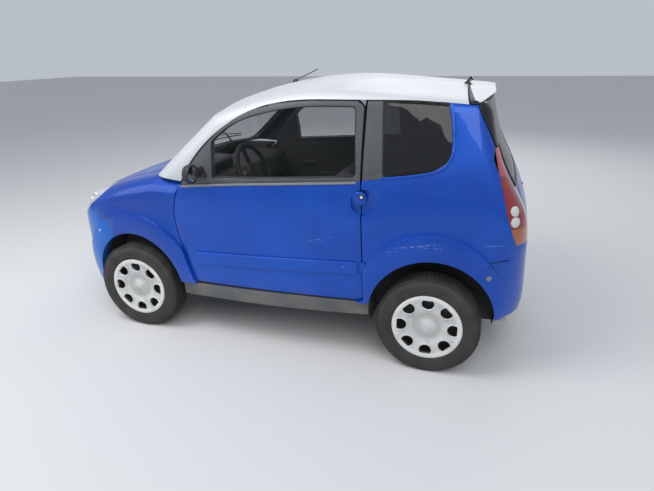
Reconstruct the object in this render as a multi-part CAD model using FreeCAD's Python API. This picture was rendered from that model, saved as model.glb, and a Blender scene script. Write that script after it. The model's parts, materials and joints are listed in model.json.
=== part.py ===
import FreeCAD, Part

import math
import os

from FreeCAD import Vector

# A two-seat microcar with a bonded plastic body on an aluminium ladder frame.
# Millimetres. X points forward, Y to the car's left and Z up.
# The origin lies on the ground under the middle of the car's length.

# Overall sizes
LENGTH = 2740.0
WHEELBASE = 1715.0
FRONT_OVERHANG = 565.0
HALF_WIDTH = 704.0
NOSE_X = LENGTH / 2
TAIL_X = -LENGTH / 2
FRONT_AXLE_X = NOSE_X - FRONT_OVERHANG
REAR_AXLE_X = FRONT_AXLE_X - WHEELBASE

# Panels, glass and gaps
WALL = 28.0
DOOR_THICKNESS = 45.0
BONNET_THICKNESS = 20.0
FRAME_INSET = 7.0
GLASS_INSET = 10.0
GLASS_THICKNESS = 4.0
FLARE_HEIGHT = 16.0
GAP = 6.0
SEAT_CLEARANCE = 0.3

# Plan outlines of the body, from the ground up. Columns: height, nose setback, tail setback,
# half width less than the widest, front corner radius, rear corner radius.
BODY_LEVELS = (
    (200.0, 30.0, 60.0, 14.0, 320.0, 290.0),
    (450.0, 0.0, 1.0, 0.0, 320.0, 250.0),
    (700.0, 1.0, 14.0, 0.0, 320.0, 190.0),
    (830.0, 3.0, 36.0, 4.0, 320.0, 150.0),
    (950.0, 6.0, 96.0, 15.0, 320.0, 120.0),
    (1180.0, 30.0, 204.0, 68.0, 290.0, 95.0),
    (1480.0, 80.0, 344.0, 142.0, 250.0, 80.0),
)
NOSE_BOW_RADIUS = 2100.0
TAIL_BOW_RADIUS = 9000.0
SIDE_BOW_RADIUS = 9000.0
WIDEST_X = -150.0

# Centre line of the bonnet and nose, seen from the side
COWL = (640.0, 967.0)
BONNET_MID = (990.0, 877.0)
NOSE_TOP = (1140.0, 821.0)
NOSE_ROLL = (1266.0, 729.0)
NOSE_FRONT = (1372.0, 560.0)
BONNET_CROWN_Z = -4000.0
BONNET_EDGE_RADIUS = 95.0

# Centre line of the windscreen and roof, seen from the side
SCREEN_FOOT = (760.0, 912.0)
SCREEN_TOP = (262.0, 1325.0)
ROOF_FRONT = (-52.0, 1410.0)
ROOF_PEAK = (-517.0, 1442.0)
ROOF_REAR = (-1115.0, 1393.0)
CABIN_CROWN_Z = -1150.0
ROOF_EDGE_RADIUS = 85.0

# Wheels
TYRE_RADIUS = 262.0
TYRE_WIDTH = 145.0
WHEEL_CENTRE_Y = 635.0
RIM_RADIUS = 180.0

# Wheel arches: centre offset from the axle, centre height, opening radius
FRONT_ARCH = (7.0, 278.0, 312.0)
REAR_ARCH = (-7.0, 304.0, 312.0)
# Flares: centre offset from the axle, centre height, outer radius
FRONT_FLARE = (7.0, 278.0, 428.0)
REAR_FLARE = (5.0, 388.0, 362.0)

FAR = 2000.0


def side_point(q, y=0.0):
    return Vector(q[0], y, q[1])


def front_point(q, x=0.0):
    return Vector(x, q[0], q[1])


def plan_point(q, z=0.0):
    return Vector(q[0], q[1], z)


def outline(points, place):
    """Closed wire through (a, b) or (a, b, corner radius) points. A point of ("via", a, b) bends
    the stretch between its neighbours into an arc through it."""
    corners = [p for p in points if p[0] != "via"]
    vias = {}
    count = 0
    for p in points:
        if p[0] == "via":
            vias[count - 1] = (p[1], p[2])
        else:
            count += 1
    n = len(corners)
    ends = []
    for i, p in enumerate(corners):
        radius = p[2] if len(p) > 2 else 0.0
        if not radius:
            ends.append(((p[0], p[1]), None, (p[0], p[1])))
            continue
        here = Vector(p[0], p[1], 0)
        before = Vector(corners[i - 1][0], corners[i - 1][1], 0) - here
        after = Vector(corners[(i + 1) % n][0], corners[(i + 1) % n][1], 0) - here
        before.normalize()
        after.normalize()
        half = before.getAngle(after) / 2
        run = radius / math.tan(half)
        middle = before + after
        middle.normalize()
        tip = here + middle * (radius / math.sin(half) - radius)
        a = here + before * run
        b = here + after * run
        ends.append(((a.x, a.y), (tip.x, tip.y), (b.x, b.y)))
    edges = []
    for i in range(n):
        start, tip, end = ends[i]
        if tip:
            edges.append(Part.Arc(place(start), place(tip), place(end)).toShape())
        following = ends[(i + 1) % n][0]
        if i in vias:
            edges.append(Part.Arc(place(end), place(vias[i]), place(following)).toShape())
        elif (place(end) - place(following)).Length > 1e-6:
            edges.append(Part.makeLine(place(end), place(following)))
    return Part.Wire(edges)


def side_prism(points, inner=250.0, outer=900.0, grow=0.0):
    face = Part.Face(outline(points, lambda q: side_point(q, inner)))
    if grow:
        face = Part.Face(face.makeOffset2D(grow).Wires[0])
    return face.extrude(Vector(0, outer - inner, 0))


def front_prism(points, back=-FAR, ahead=FAR, grow=0.0):
    face = Part.Face(outline(points, lambda q: front_point(q, back)))
    if grow:
        face = Part.Face(face.makeOffset2D(grow).Wires[0])
    return face.extrude(Vector(ahead - back, 0, 0))


def plan_prism(points, low=0.0, high=FAR, grow=0.0):
    face = Part.Face(outline(points, lambda q: plan_point(q, low)))
    if grow:
        face = Part.Face(face.makeOffset2D(grow).Wires[0])
    return face.extrude(Vector(0, 0, high - low))


def mirrored(shape):
    return shape.mirror(Vector(0, 0, 0), Vector(0, 1, 0))


def box(x0, x1, y0, y1, z0, z1):
    return Part.makeBox(x1 - x0, y1 - y0, z1 - z0, Vector(x0, y0, z0))


def cylinder_y(radius, x, z, y0, y1):
    return Part.makeCylinder(radius, y1 - y0, Vector(x, y0, z), Vector(0, 1, 0))


def tube(start, end, radius):
    start, end = Vector(*start), Vector(*end)
    return Part.makeCylinder(radius, (end - start).Length, start, end - start)


def circles_meet(a, ra, b, rb, pick):
    dx, dy = b[0] - a[0], b[1] - a[1]
    d = math.hypot(dx, dy)
    along = (ra * ra - rb * rb + d * d) / (2 * d)
    across = math.sqrt(max(0.0, ra * ra - along * along))
    mx, my = a[0] + along * dx / d, a[1] + along * dy / d
    return max(
        ((mx - across * dy / d, my + across * dx / d), (mx + across * dy / d, my - across * dx / d)),
        key=pick,
    )


def out_from(centre, through, radius):
    d = math.hypot(through[0] - centre[0], through[1] - centre[1])
    return (
        centre[0] + (through[0] - centre[0]) * radius / d,
        centre[1] + (through[1] - centre[1]) * radius / d,
    )


def body_outline(level, inset, tail_stretch):
    """One plan outline of eight arcs that meet smoothly: nose, corners, sides and tail."""
    height, nose_back, tail_in, narrower, front_radius, rear_radius = level
    nose = NOSE_X - nose_back - inset
    tail = TAIL_X + tail_in + inset - tail_stretch
    width = HALF_WIDTH - narrower - inset
    front_radius -= inset
    rear_radius -= inset
    nose_bow, tail_bow, side_bow = (
        r - inset for r in (NOSE_BOW_RADIUS, TAIL_BOW_RADIUS, SIDE_BOW_RADIUS)
    )
    side_centre = (WIDEST_X, width - side_bow)
    nose_centre = (nose - nose_bow, 0.0)
    tail_centre = (tail + tail_bow, 0.0)
    front = circles_meet(
        nose_centre, nose_bow - front_radius, side_centre, side_bow - front_radius,
        lambda p: p[0] if p[1] > 0 else -FAR,
    )
    rear = circles_meet(
        tail_centre, tail_bow - rear_radius, side_centre, side_bow - rear_radius,
        lambda p: -p[0] if p[1] > 0 else -FAR,
    )
    joins = (
        out_from(nose_centre, front, nose_bow),
        out_from(side_centre, front, side_bow),
        out_from(side_centre, rear, side_bow),
        out_from(tail_centre, rear, tail_bow),
    )

    def between(centre, a, b, radius):
        return out_from(centre, ((a[0] + b[0]) / 2, (a[1] + b[1]) / 2), radius)

    mids = (
        between(front, joins[0], joins[1], front_radius),
        between(side_centre, joins[1], joins[2], side_bow),
        between(rear, joins[2], joins[3], rear_radius),
    )
    left = [Vector(q[0], q[1], height) for q in joins]
    right = [Vector(q[0], -q[1], height) for q in joins]
    left_mid = [Vector(q[0], q[1], height) for q in mids]
    right_mid = [Vector(q[0], -q[1], height) for q in mids]
    arcs = [(right[0], Vector(nose, 0, height), left[0])]
    arcs += [(left[i], left_mid[i], left[i + 1]) for i in range(3)]
    arcs += [(left[3], Vector(tail, 0, height), right[3])]
    arcs += [(right[i + 1], right_mid[i], right[i]) for i in (2, 1, 0)]
    return Part.Wire([Part.Arc(*arc).toShape() for arc in arcs])


def lowered(q, inset):
    return (q[0], q[1] - inset)


def crowned(edges, crown_z):
    """Turns a side view of the top of the body about a lengthwise line far below, which arches
    the bonnet or the roof from side to side."""
    half = math.degrees(math.asin(800.0 / (700.0 - crown_z)))
    face = Part.Face(Part.Wire(edges))
    face.rotate(Vector(0, 0, crown_z), Vector(1, 0, 0), -half)
    return face.revolve(Vector(0, 0, crown_z), Vector(1, 0, 0), 2 * half)


def arc_edge(*points):
    return Part.Arc(*[side_point(q) for q in points]).toShape()


def line_edge(a, b):
    return Part.makeLine(side_point(a), side_point(b))


def bonnet_block(inset):
    back = (-FAR, COWL[1] - inset)
    cowl, mid, top = (lowered(q, inset) for q in (COWL, BONNET_MID, NOSE_TOP))
    roll = (NOSE_ROLL[0] - 0.7 * inset, NOSE_ROLL[1] - 0.7 * inset)
    front = (NOSE_FRONT[0] - inset, NOSE_FRONT[1])
    foot = (front[0], 0.0)
    return crowned(
        [
            line_edge(back, cowl), arc_edge(cowl, mid, top), arc_edge(top, roll, front),
            line_edge(front, foot), line_edge(foot, (-FAR, 0.0)), line_edge((-FAR, 0.0), back),
        ],
        BONNET_CROWN_Z,
    )


def cabin_block(inset):
    slope = math.atan2(SCREEN_TOP[1] - SCREEN_FOOT[1], SCREEN_FOOT[0] - SCREEN_TOP[0])
    back_off = inset * math.sin(slope)
    down = inset * math.cos(slope)
    foot = (SCREEN_FOOT[0] - back_off, SCREEN_FOOT[1] - down)
    top = (SCREEN_TOP[0] - back_off, SCREEN_TOP[1] - down)
    front, peak, rear = (lowered(q, inset) for q in (ROOF_FRONT, ROOF_PEAK, ROOF_REAR))
    far = (-FAR, rear[1] + (rear[1] - peak[1]) / (rear[0] - peak[0]) * (-FAR - rear[0]) * 1.3)
    return crowned(
        [
            line_edge(foot, top), arc_edge(top, front, peak), arc_edge(peak, rear, far),
            line_edge(far, (-FAR, 0.0)), line_edge((-FAR, 0.0), (foot[0], 0.0)),
            line_edge((foot[0], 0.0), foot),
        ],
        CABIN_CROWN_Z,
    )


def edges_where(shape, test):
    return [e for e in shape.Edges if test(e.BoundBox)]


def on_a_side(b):
    return b.YMin > 200 or b.YMax < -200


def lower_envelope(inset, tail_stretch=0.0):
    loft = Part.makeLoft([body_outline(l, inset, tail_stretch) for l in BODY_LEVELS], True, False)
    shape = loft.common(bonnet_block(inset)).removeSplitter()
    edges = edges_where(
        shape,
        lambda b: b.ZMin > 600 and b.ZMax - b.ZMin < 400 and on_a_side(b) and b.XMax > 300,
    )
    return shape.makeFillet(BONNET_EDGE_RADIUS - inset, edges)


def upper_envelope(inset, tail_stretch=0.0):
    loft = Part.makeLoft([body_outline(l, inset, tail_stretch) for l in BODY_LEVELS], True, False)
    shape = loft.common(cabin_block(inset)).removeSplitter()
    edges = edges_where(
        shape,
        lambda b: b.ZMax > 1000 and b.ZMin > 700 and on_a_side(b) and b.ZMax - b.ZMin < 900,
    )
    return shape.makeFillet(ROOF_EDGE_RADIUS - inset, edges)


os.makedirs("parts", exist_ok=True)


def export(name, *shapes):
    shape = shapes[0] if len(shapes) == 1 else Part.makeCompound(list(shapes))
    shape.exportStep("parts/" + name + ".step")


def both_sides(shape):
    return Part.makeCompound([shape, mirrored(shape)])


def body_loft(inset):
    """The sides, nose and tail only, without the rounding of the bonnet and roof."""
    return Part.makeLoft([body_outline(l, inset, 0.0) for l in BODY_LEVELS], True, False)


def moved(shape, dx, dy, dz):
    return shape.translated(Vector(dx, dy, dz))


# Body forms that the panels are cut from
cabin_outer = upper_envelope(0.0)
cabin_frame = upper_envelope(FRAME_INSET)
cabin_glass = upper_envelope(GLASS_INSET)
cabin_glass_back = upper_envelope(GLASS_INSET + GLASS_THICKNESS)
cabin_inner = upper_envelope(WALL)
cabin_deep = upper_envelope(DOOR_THICKNESS)
cabin_long = upper_envelope(0.0, 80.0)
nose_outer = lower_envelope(0.0)
loft_outer = body_loft(0.0)
loft_deep = body_loft(DOOR_THICKNESS)
nose_deep = moved(nose_outer, 0, 0, -DOOR_THICKNESS).common(loft_deep)
loft_flare = body_loft(-FLARE_HEIGHT)
loft_skin = body_loft(12.0)


# Side outlines of the openings, as x, z and a corner radius
DOOR_PANEL = (
    (406, 349, 14), (-578, 367, 18), (-553, 984), ("via", -90, 951), (446, 905),
    ("via", 489, 803), (496, 700), ("via", 458, 520),
)
DOOR_FRAME = (
    (444, 899), ("via", 313, 1096), (171, 1215), ("via", 17, 1296), (-146, 1335),
    ("via", -230, 1343), (-320, 1346), (-512, 1346, 26), (-546, 1320, 20), (-551, 976),
    ("via", -90, 943),
)
DOOR_GLASS = (
    (243, 958), (251, 1137), ("via", 130, 1228), (1, 1276), ("via", -160, 1308),
    (-322, 1321), (-508, 1321, 26), (-528, 1005, 22), ("via", -140, 979),
)
QUARTER_GLASS = (
    (-634, 1380), (-790, 1380), (-930, 1352, 30), (-965, 1207), ("via", -971, 1140),
    (-960, 1090, 40), (-874, 1034), (-783, 1019), (-661, 1005, 24),
)
PILLAR_COVER = ((-562, 1351.7), (-562, 990), (-640, 998), (-700, 1010), (-700, 1351.7))
ROOF_SIDE = (
    (73, 1600), (-985, 1600), (-985, 1410), (-1018, 1334), (-918, 1342), (-787, 1350),
    (-654, 1352), (-500, 1352), (73, 1200),
)
TAIL_ZONE = (
    (-991, 1600), (-991, 1412), (-1026, 1336), (-1061, 1337), (-1085, 1283), (-1122, 1218),
    (-1153, 1152), (-1153, 1100), (-1183, 1037), (-1210, 953), (-1241, 842), (-1293, 710),
    (-1500, 710), (-1500, 1600),
)
TAIL_LAMP = (
    (-1147, 1146), (-1177, 1037), (-1204, 953), (-1235, 842), (-1288, 703), (-1500, 703),
    (-1500, 1146),
)
SPOILER = (
    (-1000, 1600), (-1000, 1399), (-1042, 1350, 5), (-1064, 1340, 5), (-1140, 1379, 9),
    (-1082, 1406), (-1082, 1600),
)
REAR_BUMPER = (
    (-1132, 546), (-1189, 625), (-1270, 638), (-1296, 690), (-1500, 697), (-1500, 312),
    (-1222, 312),
)
SILL = ((520, 329), (-59, 343), (-640, 357), (-640, 280), (-51, 255), (520, 246))
BUMPER_TOP = ((979, 605), (1005, 648), (1066, 645), (1087, 697), (1500, 697), (1500, 214), (940, 214))
LAMP = (
    (990, 838), (1059, 779), (1140, 722), (1214, 662), (1292, 602), (1500, 585), (1500, 1000),
    (990, 1000),
)
# Plan outline of the bonnet, half of it, as x, y
BONNET_HALF = ((655, 484), (960, 497), (1040, 470), (1120, 372), (1180, 322), (1500, 300))
# Rear view of the tailgate window, as y, z and a corner radius
TAIL_WINDOW = (
    (-408, 1000, 40), (408, 1000, 40), (414, 1125), (500, 1210, 40), (484, 1308, 40), (-484, 1308, 40),
    (-500, 1210, 40), (-414, 1125),
)
TAIL_GLASS_FOOT = 955.0
# Front view of the windscreen, as y, z and a corner radius
SCREEN = (
    (-594, 956, 45), ("via", 0, 972), (594, 956, 45), (530, 1283, 60), ("via", 0, 1332),
    (-530, 1283, 60),
)

SEAM = 0.3


def arch(values, axle_x, y0, y1, extra=0.0):
    return cylinder_y(values[2] + extra, axle_x + values[0], values[1], y0, y1)


front_arch = arch(FRONT_ARCH, FRONT_AXLE_X, 250, 900)
rear_arch = arch(REAR_ARCH, REAR_AXLE_X, 250, 900)
front_band = loft_flare.common(arch(FRONT_FLARE, FRONT_AXLE_X, 400, 900)).cut(loft_skin)
rear_band = loft_flare.common(arch(REAR_FLARE, REAR_AXLE_X, 400, 900)).cut(loft_skin)

# Doors, each with half of a round dish for the handle that sits over the shut line
# Handle: centre, radius. Dish: centre, radius, depth.
HANDLE = (-555.0, 907.0, 34.0)
RECESS = (-576.0, 885.0, 64.5, 14.0)


def door_skin_y(x, z):
    """Half width of the body side at one place, read off the outer form."""
    probe = Part.makeLine(Vector(x, 300, z), Vector(x, 900, z)).common(cabin_outer)
    return probe.BoundBox.YMax


door_prism = side_prism(DOOR_PANEL)
frame_prism = side_prism(DOOR_FRAME)
door_hole = side_prism(DOOR_PANEL, grow=GAP)
frame_hole = side_prism(DOOR_FRAME, grow=GAP)
glass_prism = side_prism(DOOR_GLASS)
skin = door_skin_y(HANDLE[0], HANDLE[1])
recess = cylinder_y(RECESS[2], RECESS[0], RECESS[1], skin - RECESS[3], 900)
door = cabin_outer.common(door_prism).cut(cabin_deep).cut(recess)
door = door.cut(cylinder_y(HANDLE[2] + SEAM, HANDLE[0], HANDLE[1], skin - 7 - SEAM, 900))
door_frame = cabin_frame.common(frame_prism).cut(cabin_deep)
door_frame = door_frame.cut(glass_prism).cut(side_prism(DOOR_PANEL, grow=SEAM))
door_glass = cabin_glass.common(side_prism(DOOR_GLASS, grow=-SEAM)).cut(cabin_glass_back)
handle = cylinder_y(HANDLE[2], HANDLE[0], HANDLE[1], skin - 7, skin + 9)
handle = handle.makeFillet(6.0, edges_where(handle, lambda b: b.YMin > skin + 8))
stem = cylinder_y(24.0, HANDLE[0], HANDLE[1], skin - RECESS[3] + SEAM, skin - 6)
handle = handle.fuse(stem.common(box(HANDLE[0] + 2, 0, 0, 900, 0, 1000))).removeSplitter()
parts_of_door = (
    ("door", door), ("door_frame", door_frame), ("door_glass", door_glass), ("handle", handle),
)
for name, shape in parts_of_door:
    export(name + "_left", shape)
    export(name + "_right", mirrored(shape))

# Front wings
wing_zone = side_prism(((405, 332), (405, 925), (640, 946), (1100, 1100), (1100, 332)))
bonnet_points = BONNET_HALF + tuple((x, -y) for x, y in reversed(BONNET_HALF)) + (("via", 740, 0),)
bonnet_prism = plan_prism(bonnet_points, 600)
bonnet_hole = plan_prism(bonnet_points, 500, grow=8.0)
lamp_prism = side_prism(LAMP, 308)
lamp_hole = side_prism(LAMP, 308 - SEAM, grow=SEAM)
bumper_side = side_prism(BUMPER_TOP, grow=SEAM)
wing = nose_outer.common(box(405, 1160, 484, 900, 332, 1000)).cut(nose_deep).common(wing_zone)
wing = wing.fuse(nose_outer.common(box(940, 1160, 250, 486, 332, 1000)).cut(nose_deep))
wing = wing.cut(bonnet_hole).cut(lamp_hole).cut(bumper_side)
wing = wing.fuse(front_band.common(box(405, 1100, 300, 900, 332, 900)).cut(bumper_side))
wing = wing.cut(front_arch).cut(door_hole).cut(frame_hole)
wing = wing.cut(side_prism(SILL, grow=SEAM)).removeSplitter()
export("front_wings", both_sides(wing))

# Scuttle between the bonnet and the windscreen
scuttle = nose_outer.common(box(600, 760, -484, 484, 850, 1000)).cut(moved(nose_outer, 0, 0, -12))
scuttle = scuttle.cut(bonnet_hole).cut(upper_envelope(-SEAM))
export("scuttle", max(scuttle.Solids, key=lambda q: q.Volume))

# Bonnet
bonnet = nose_outer.common(bonnet_prism).common(box(500, 1500, -600, 600, 706, 1200))
bonnet = bonnet.cut(moved(nose_outer, -14, 0, -BONNET_THICKNESS))
export("bonnet", bonnet)

# Front bumper, lamps and grille
lamp = nose_outer.common(lamp_prism).cut(bonnet_hole)
export("headlamps", both_sides(lamp))
front_zone = Part.Face(outline(BUMPER_TOP, lambda q: side_point(q, -900))).extrude(Vector(0, 1800, 0))
bumper = nose_outer.common(front_zone).cut(nose_deep)
band = front_band.common(side_prism(BUMPER_TOP))
bumper = bumper.fuse(band).fuse(mirrored(band))
bumper = bumper.cut(front_arch).cut(mirrored(front_arch)).cut(lamp_hole).cut(mirrored(lamp_hole))
grille_points = ((-290, 330, 24), (290, 330, 24), (270, 430, 24), (-270, 430, 24))
bumper = bumper.cut(front_prism(grille_points, 900, 1500))
grille = body_loft(14.0).common(front_prism(grille_points, 900, 1500, grow=-SEAM)).cut(body_loft(34.0))
for low in (346, 374, 402):
    grille = grille.cut(box(900, 1500, -262, -4, low, low + 14)).cut(box(900, 1500, 4, 262, low, low + 14))
export("front_bumper", bumper.removeSplitter())
export("grille", grille)

# Windscreen and the frame round it
screen_hole = front_prism(SCREEN, 100, 900)
screen = upper_envelope(4.0).common(front_prism(SCREEN, 100, 900, grow=-SEAM))
screen = screen.cut(upper_envelope(9.0)).common(box(100, 900, -600, 600, 900, 1400))
export("windscreen", screen)
frame_zone = Part.Face(
    outline(((73 + SEAM, 1600), (900, 1600), (900, 900), (640, 946.3), (405, 925.3),
             (300, 925.3), (73 + SEAM, 1150)), lambda q: side_point(q, -900))
).extrude(Vector(0, 1800, 0))
screen_frame = cabin_outer.cut(cabin_inner).common(frame_zone).cut(screen_hole)
screen_frame = screen_frame.cut(frame_hole).cut(mirrored(frame_hole))
screen_frame = screen_frame.cut(door_hole).cut(mirrored(door_hole))
screen_frame = screen_frame.cut(nose_outer.common(box(500, 1500, -900, 900, 200, 1200)))
export("windscreen_frame", screen_frame)

# Roof
roof_zone = Part.Face(outline(ROOF_SIDE, lambda q: side_point(q, -900))).extrude(Vector(0, 1800, 0))
roof = cabin_outer.cut(cabin_inner).common(roof_zone).cut(frame_hole).cut(mirrored(frame_hole))
# Tailgate hinges on the roof: pins on the spoiler turn in these eyes
HINGE_X, HINGE_Z, HINGE_PIN_R, HINGE_EYE_R = -990.0, 1413.0, 3.5, 6.5
for y in (140, -160):
    eye = cylinder_y(HINGE_EYE_R, HINGE_X, HINGE_Z, y, y + 20)
    leaf = ((HINGE_X, HINGE_Z + 6.5), (HINGE_X - 3, HINGE_Z - 5), (HINGE_X + 6, 1388), (-950, 1388))
    eye = eye.fuse(side_prism(leaf, y, y + 20))
    roof = roof.fuse(eye).cut(cylinder_y(HINGE_PIN_R + SEAM, HINGE_X, HINGE_Z, y - 5, y + 25))
export("roof", roof.removeSplitter())

# Quarter panels, their windows and the pillar covers
quarter_zone = box(-1000, -540, 250, 900, 300, 1356).fuse(box(-1110, -1000, 250, 900, 300, 1338))
quarter_zone = quarter_zone.fuse(box(-1500, -1110, 456, 900, 300, 1338))
quarter = cabin_outer.common(quarter_zone).cut(cabin_inner)
roof_side = side_prism(ROOF_SIDE, grow=SEAM)
tail_side = side_prism(TAIL_ZONE, grow=GAP)
lamp_side = side_prism(TAIL_LAMP, grow=SEAM)
rear_bumper_side = side_prism(REAR_BUMPER, grow=SEAM)
quarter = quarter.cut(roof_side).cut(tail_side).cut(lamp_side).cut(rear_bumper_side)
quarter = quarter.fuse(rear_band.common(box(-1300, -540, 300, 900, 357, 900)).cut(rear_bumper_side))
quarter = quarter.cut(rear_arch).cut(side_prism(SILL, grow=SEAM))
quarter = quarter.cut(door_hole).cut(side_prism(DOOR_FRAME, grow=11.0))
quarter = quarter.cut(side_prism(PILLAR_COVER, grow=SEAM)).cut(side_prism(QUARTER_GLASS))
quarter = quarter.cut(recess).cut(box(-1500, -500, 250, 900, 200, 357))
quarter = quarter.removeSplitter()
quarter = max(quarter.Solids, key=lambda q: q.Volume)
export("quarter_panels", both_sides(quarter))
cover = cabin_frame.cut(cabin_inner).common(side_prism(PILLAR_COVER)).cut(side_prism(QUARTER_GLASS))
cover = cover.cut(side_prism(DOOR_FRAME, grow=11.0)).cut(roof_side)
export("pillar_covers", both_sides(cover))
window = upper_envelope(4.0).common(side_prism(QUARTER_GLASS, grow=-SEAM)).cut(upper_envelope(9.0))
window = window.cut(roof_side)
export("quarter_windows", both_sides(window))

# Sills
sill = body_loft(3.0).common(side_prism(SILL)).cut(body_loft(75.0)).cut(front_arch).cut(rear_arch)
export("sills", both_sides(sill))

# Tail lamps, rear bumper, tailgate and spoiler
tail_lamp = cabin_outer.common(side_prism(TAIL_LAMP, 461)).cut(cabin_deep)
export("tail_lamps", both_sides(tail_lamp))
rear_zone = Part.Face(outline(REAR_BUMPER, lambda q: side_point(q, -900))).extrude(Vector(0, 1800, 0))
rear_bumper = cabin_outer.common(rear_zone).cut(loft_deep)
band = rear_band.common(side_prism(REAR_BUMPER))
rear_bumper = rear_bumper.fuse(band).fuse(mirrored(band)).cut(rear_arch).cut(mirrored(rear_arch))
export("rear_bumper", rear_bumper.removeSplitter())
tail_zone = Part.Face(outline(TAIL_ZONE, lambda q: side_point(q, -900))).extrude(Vector(0, 1800, 0))
tail_shape = box(-1500, -900, -455, 455, 706, 1600).fuse(box(-1500, -900, -900, 900, 1152, 1600))
spoiler_zone = Part.Face(outline(SPOILER, lambda q: side_point(q, -900))).extrude(Vector(0, 1800, 0))
spoiler_hole = Part.Face(outline(SPOILER, lambda q: side_point(q, -900)))
spoiler_hole = Part.Face(spoiler_hole.makeOffset2D(SEAM).Wires[0]).extrude(Vector(0, 1800, 0))
gate_zone = tail_zone.common(tail_shape).cut(spoiler_hole)
glass_zone = gate_zone.common(box(-1500, -1030, -900, 900, TAIL_GLASS_FOOT, 1345))
tailgate = cabin_outer.cut(cabin_inner).common(gate_zone)
tailgate = tailgate.cut(glass_zone.cut(upper_envelope(GLASS_THICKNESS + SEAM)))
tailgate = tailgate.cut(front_prism(TAIL_WINDOW, -1500, -900))
# Arms that carry the spoiler and with it the tailgate, seated in notches of the tailgate
ARM = ((HINGE_X + 4, HINGE_Z + 5), (HINGE_X + 4, HINGE_Z - 4), (-1003, 1392), (-1030, 1385))
ARM_Y = (160.3, -180.3)
for y in ARM_Y:
    tailgate = tailgate.cut(side_prism(ARM, y - SEAM, y + 20 + SEAM, grow=SEAM))
    tailgate = tailgate.cut(cylinder_y(HINGE_EYE_R + SEAM, HINGE_X, HINGE_Z, y - SEAM, y + 20 + SEAM))
export("tailgate", tailgate)
tail_glass = cabin_outer.cut(upper_envelope(GLASS_THICKNESS)).common(glass_zone)
tail_glass = tail_glass.common(box(-1500, -1030.3, -900, 900, TAIL_GLASS_FOOT + SEAM, 1400))
export("tailgate_glass", tail_glass)
spoiler = cabin_long.common(spoiler_zone)
for y in ARM_Y:
    pin_y = 141 if y > 0 else -161
    arm = cylinder_y(HINGE_EYE_R, HINGE_X, HINGE_Z, y, y + 20).fuse(side_prism(ARM, y, y + 20))
    spoiler = spoiler.fuse(arm).fuse(cylinder_y(HINGE_PIN_R, HINGE_X, HINGE_Z, pin_y, pin_y + 38))
export("spoiler", spoiler.removeSplitter())


# Door mirrors, handles and rub strips
MIRROR = (315.0, 762.0, 995.0)
# Half section of the mirror head: along the car, radius
MIRROR_HEAD = (
    (-14, 0.01), (-14, 42), (-18, 44), (-18, 48), (2, 49), (20, 42), (32, 24), (36, 0.01),
)


mirror_x, mirror_y, mirror_z = MIRROR
head = Part.makePolygon([Vector(x, 0, r) for x, r in MIRROR_HEAD + MIRROR_HEAD[:1]])
mirror = Part.Face(head).revolve(Vector(0, 0, 0), Vector(1, 0, 0), 360)
mirror = mirror.translated(Vector(mirror_x, mirror_y, mirror_z))
foot = Part.Face(outline(((270, 958, 8), (352, 958, 8), (306, 1022, 8)), lambda q: side_point(q, 600)))
foot = foot.extrude(Vector(0, 82, 0))
arm = tube((mirror_x, mirror_y - 30, mirror_z), (mirror_x - 4, 600, mirror_z - 16), 25.0)
mirror = mirror.fuse(foot.fuse(arm).cut(upper_envelope(FRAME_INSET - SEAM))).removeSplitter()
mirror = max(mirror.Solids, key=lambda q: q.Volume)
strip_zone = side_prism(((394, 462, 10), (388, 536, 10), (-549, 580, 4), (-552, 514, 4)))
strip = body_loft(-11.0).common(strip_zone).cut(body_loft(-SEAM))
for name, shape in (("mirror", mirror), ("rub_strip", strip)):
    export(name + "_left", shape)
    export(name + "_right", mirrored(shape))
rear_strip = ((-566, 517), (-566, 580), (-584, 582, 16), (-600, 566, 14), (-600, 534, 14), (-584, 519, 14))
rear_strip = body_loft(-11.0).common(side_prism(rear_strip))
rear_strip = rear_strip.cut(body_loft(-SEAM)).cut(rear_arch).cut(loft_flare.common(arch(REAR_FLARE, REAR_AXLE_X, 400, 900, SEAM)))

# Chassis: an aluminium ladder frame under the floor
RAIL_Y, RAIL_LOW, RAIL_TOP, FLOOR_Z = 300.0, 152.0, 222.0, 222.3
rails = box(-1240, 1230, RAIL_Y - 25, RAIL_Y + 25, RAIL_LOW, RAIL_TOP)
rails = rails.fuse(mirrored(rails))
for x in (-1240, -620, -60, 520, 1190):
    rails = rails.fuse(box(x, x + 40, -RAIL_Y, RAIL_Y, RAIL_LOW + 8, RAIL_TOP))
# Tow eyes on plates at both ends of the frame
TOW_R, TOW_EYE = 11.0, 18.0
for x, side in ((1230.0, 1), (-1240.0, -1)):
    near, far = sorted((x - side * 30, x + side * 64))
    plate = box(near, far, 325, 333, RAIL_LOW + 6, RAIL_TOP - 10)
    rails = rails.fuse(plate)
    rails = rails.cut(cylinder_y(TOW_R, x + side * 38, (RAIL_LOW + RAIL_TOP) / 2 - 2, 300, 340))
export("chassis_frame", rails.removeSplitter())

# Floor, firewall and boot floor
# Its turned-up edges carry the sills
sill_inner = body_loft(75.0 + SEAM)
floor = box(-570, 560, -640, 640, FLOOR_Z, FLOOR_Z + 8).fuse(box(560, 592, -566, 566, FLOOR_Z, FLOOR_Z + 8))
floor = floor.common(sill_inner)
edge = sill_inner.cut(body_loft(81.0)).common(box(-570, 500, 400, 900, FLOOR_Z, 320))
floor = floor.fuse(edge).fuse(mirrored(edge))
floor = floor.fuse(box(584, 592, -409, 409, FLOOR_Z, 880))
floor = floor.fuse(box(-578, -570, -566, 566, FLOOR_Z, 430))
floor = floor.fuse(box(-1290, -570, -470, 470, 422, 430))
floor = floor.cut(front_arch).cut(mirrored(front_arch))
floor = floor.cut(arch(FRONT_ARCH, FRONT_AXLE_X, 409.5, 900, 8)).cut(mirrored(arch(FRONT_ARCH, FRONT_AXLE_X, 409.5, 900, 8)))
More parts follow.
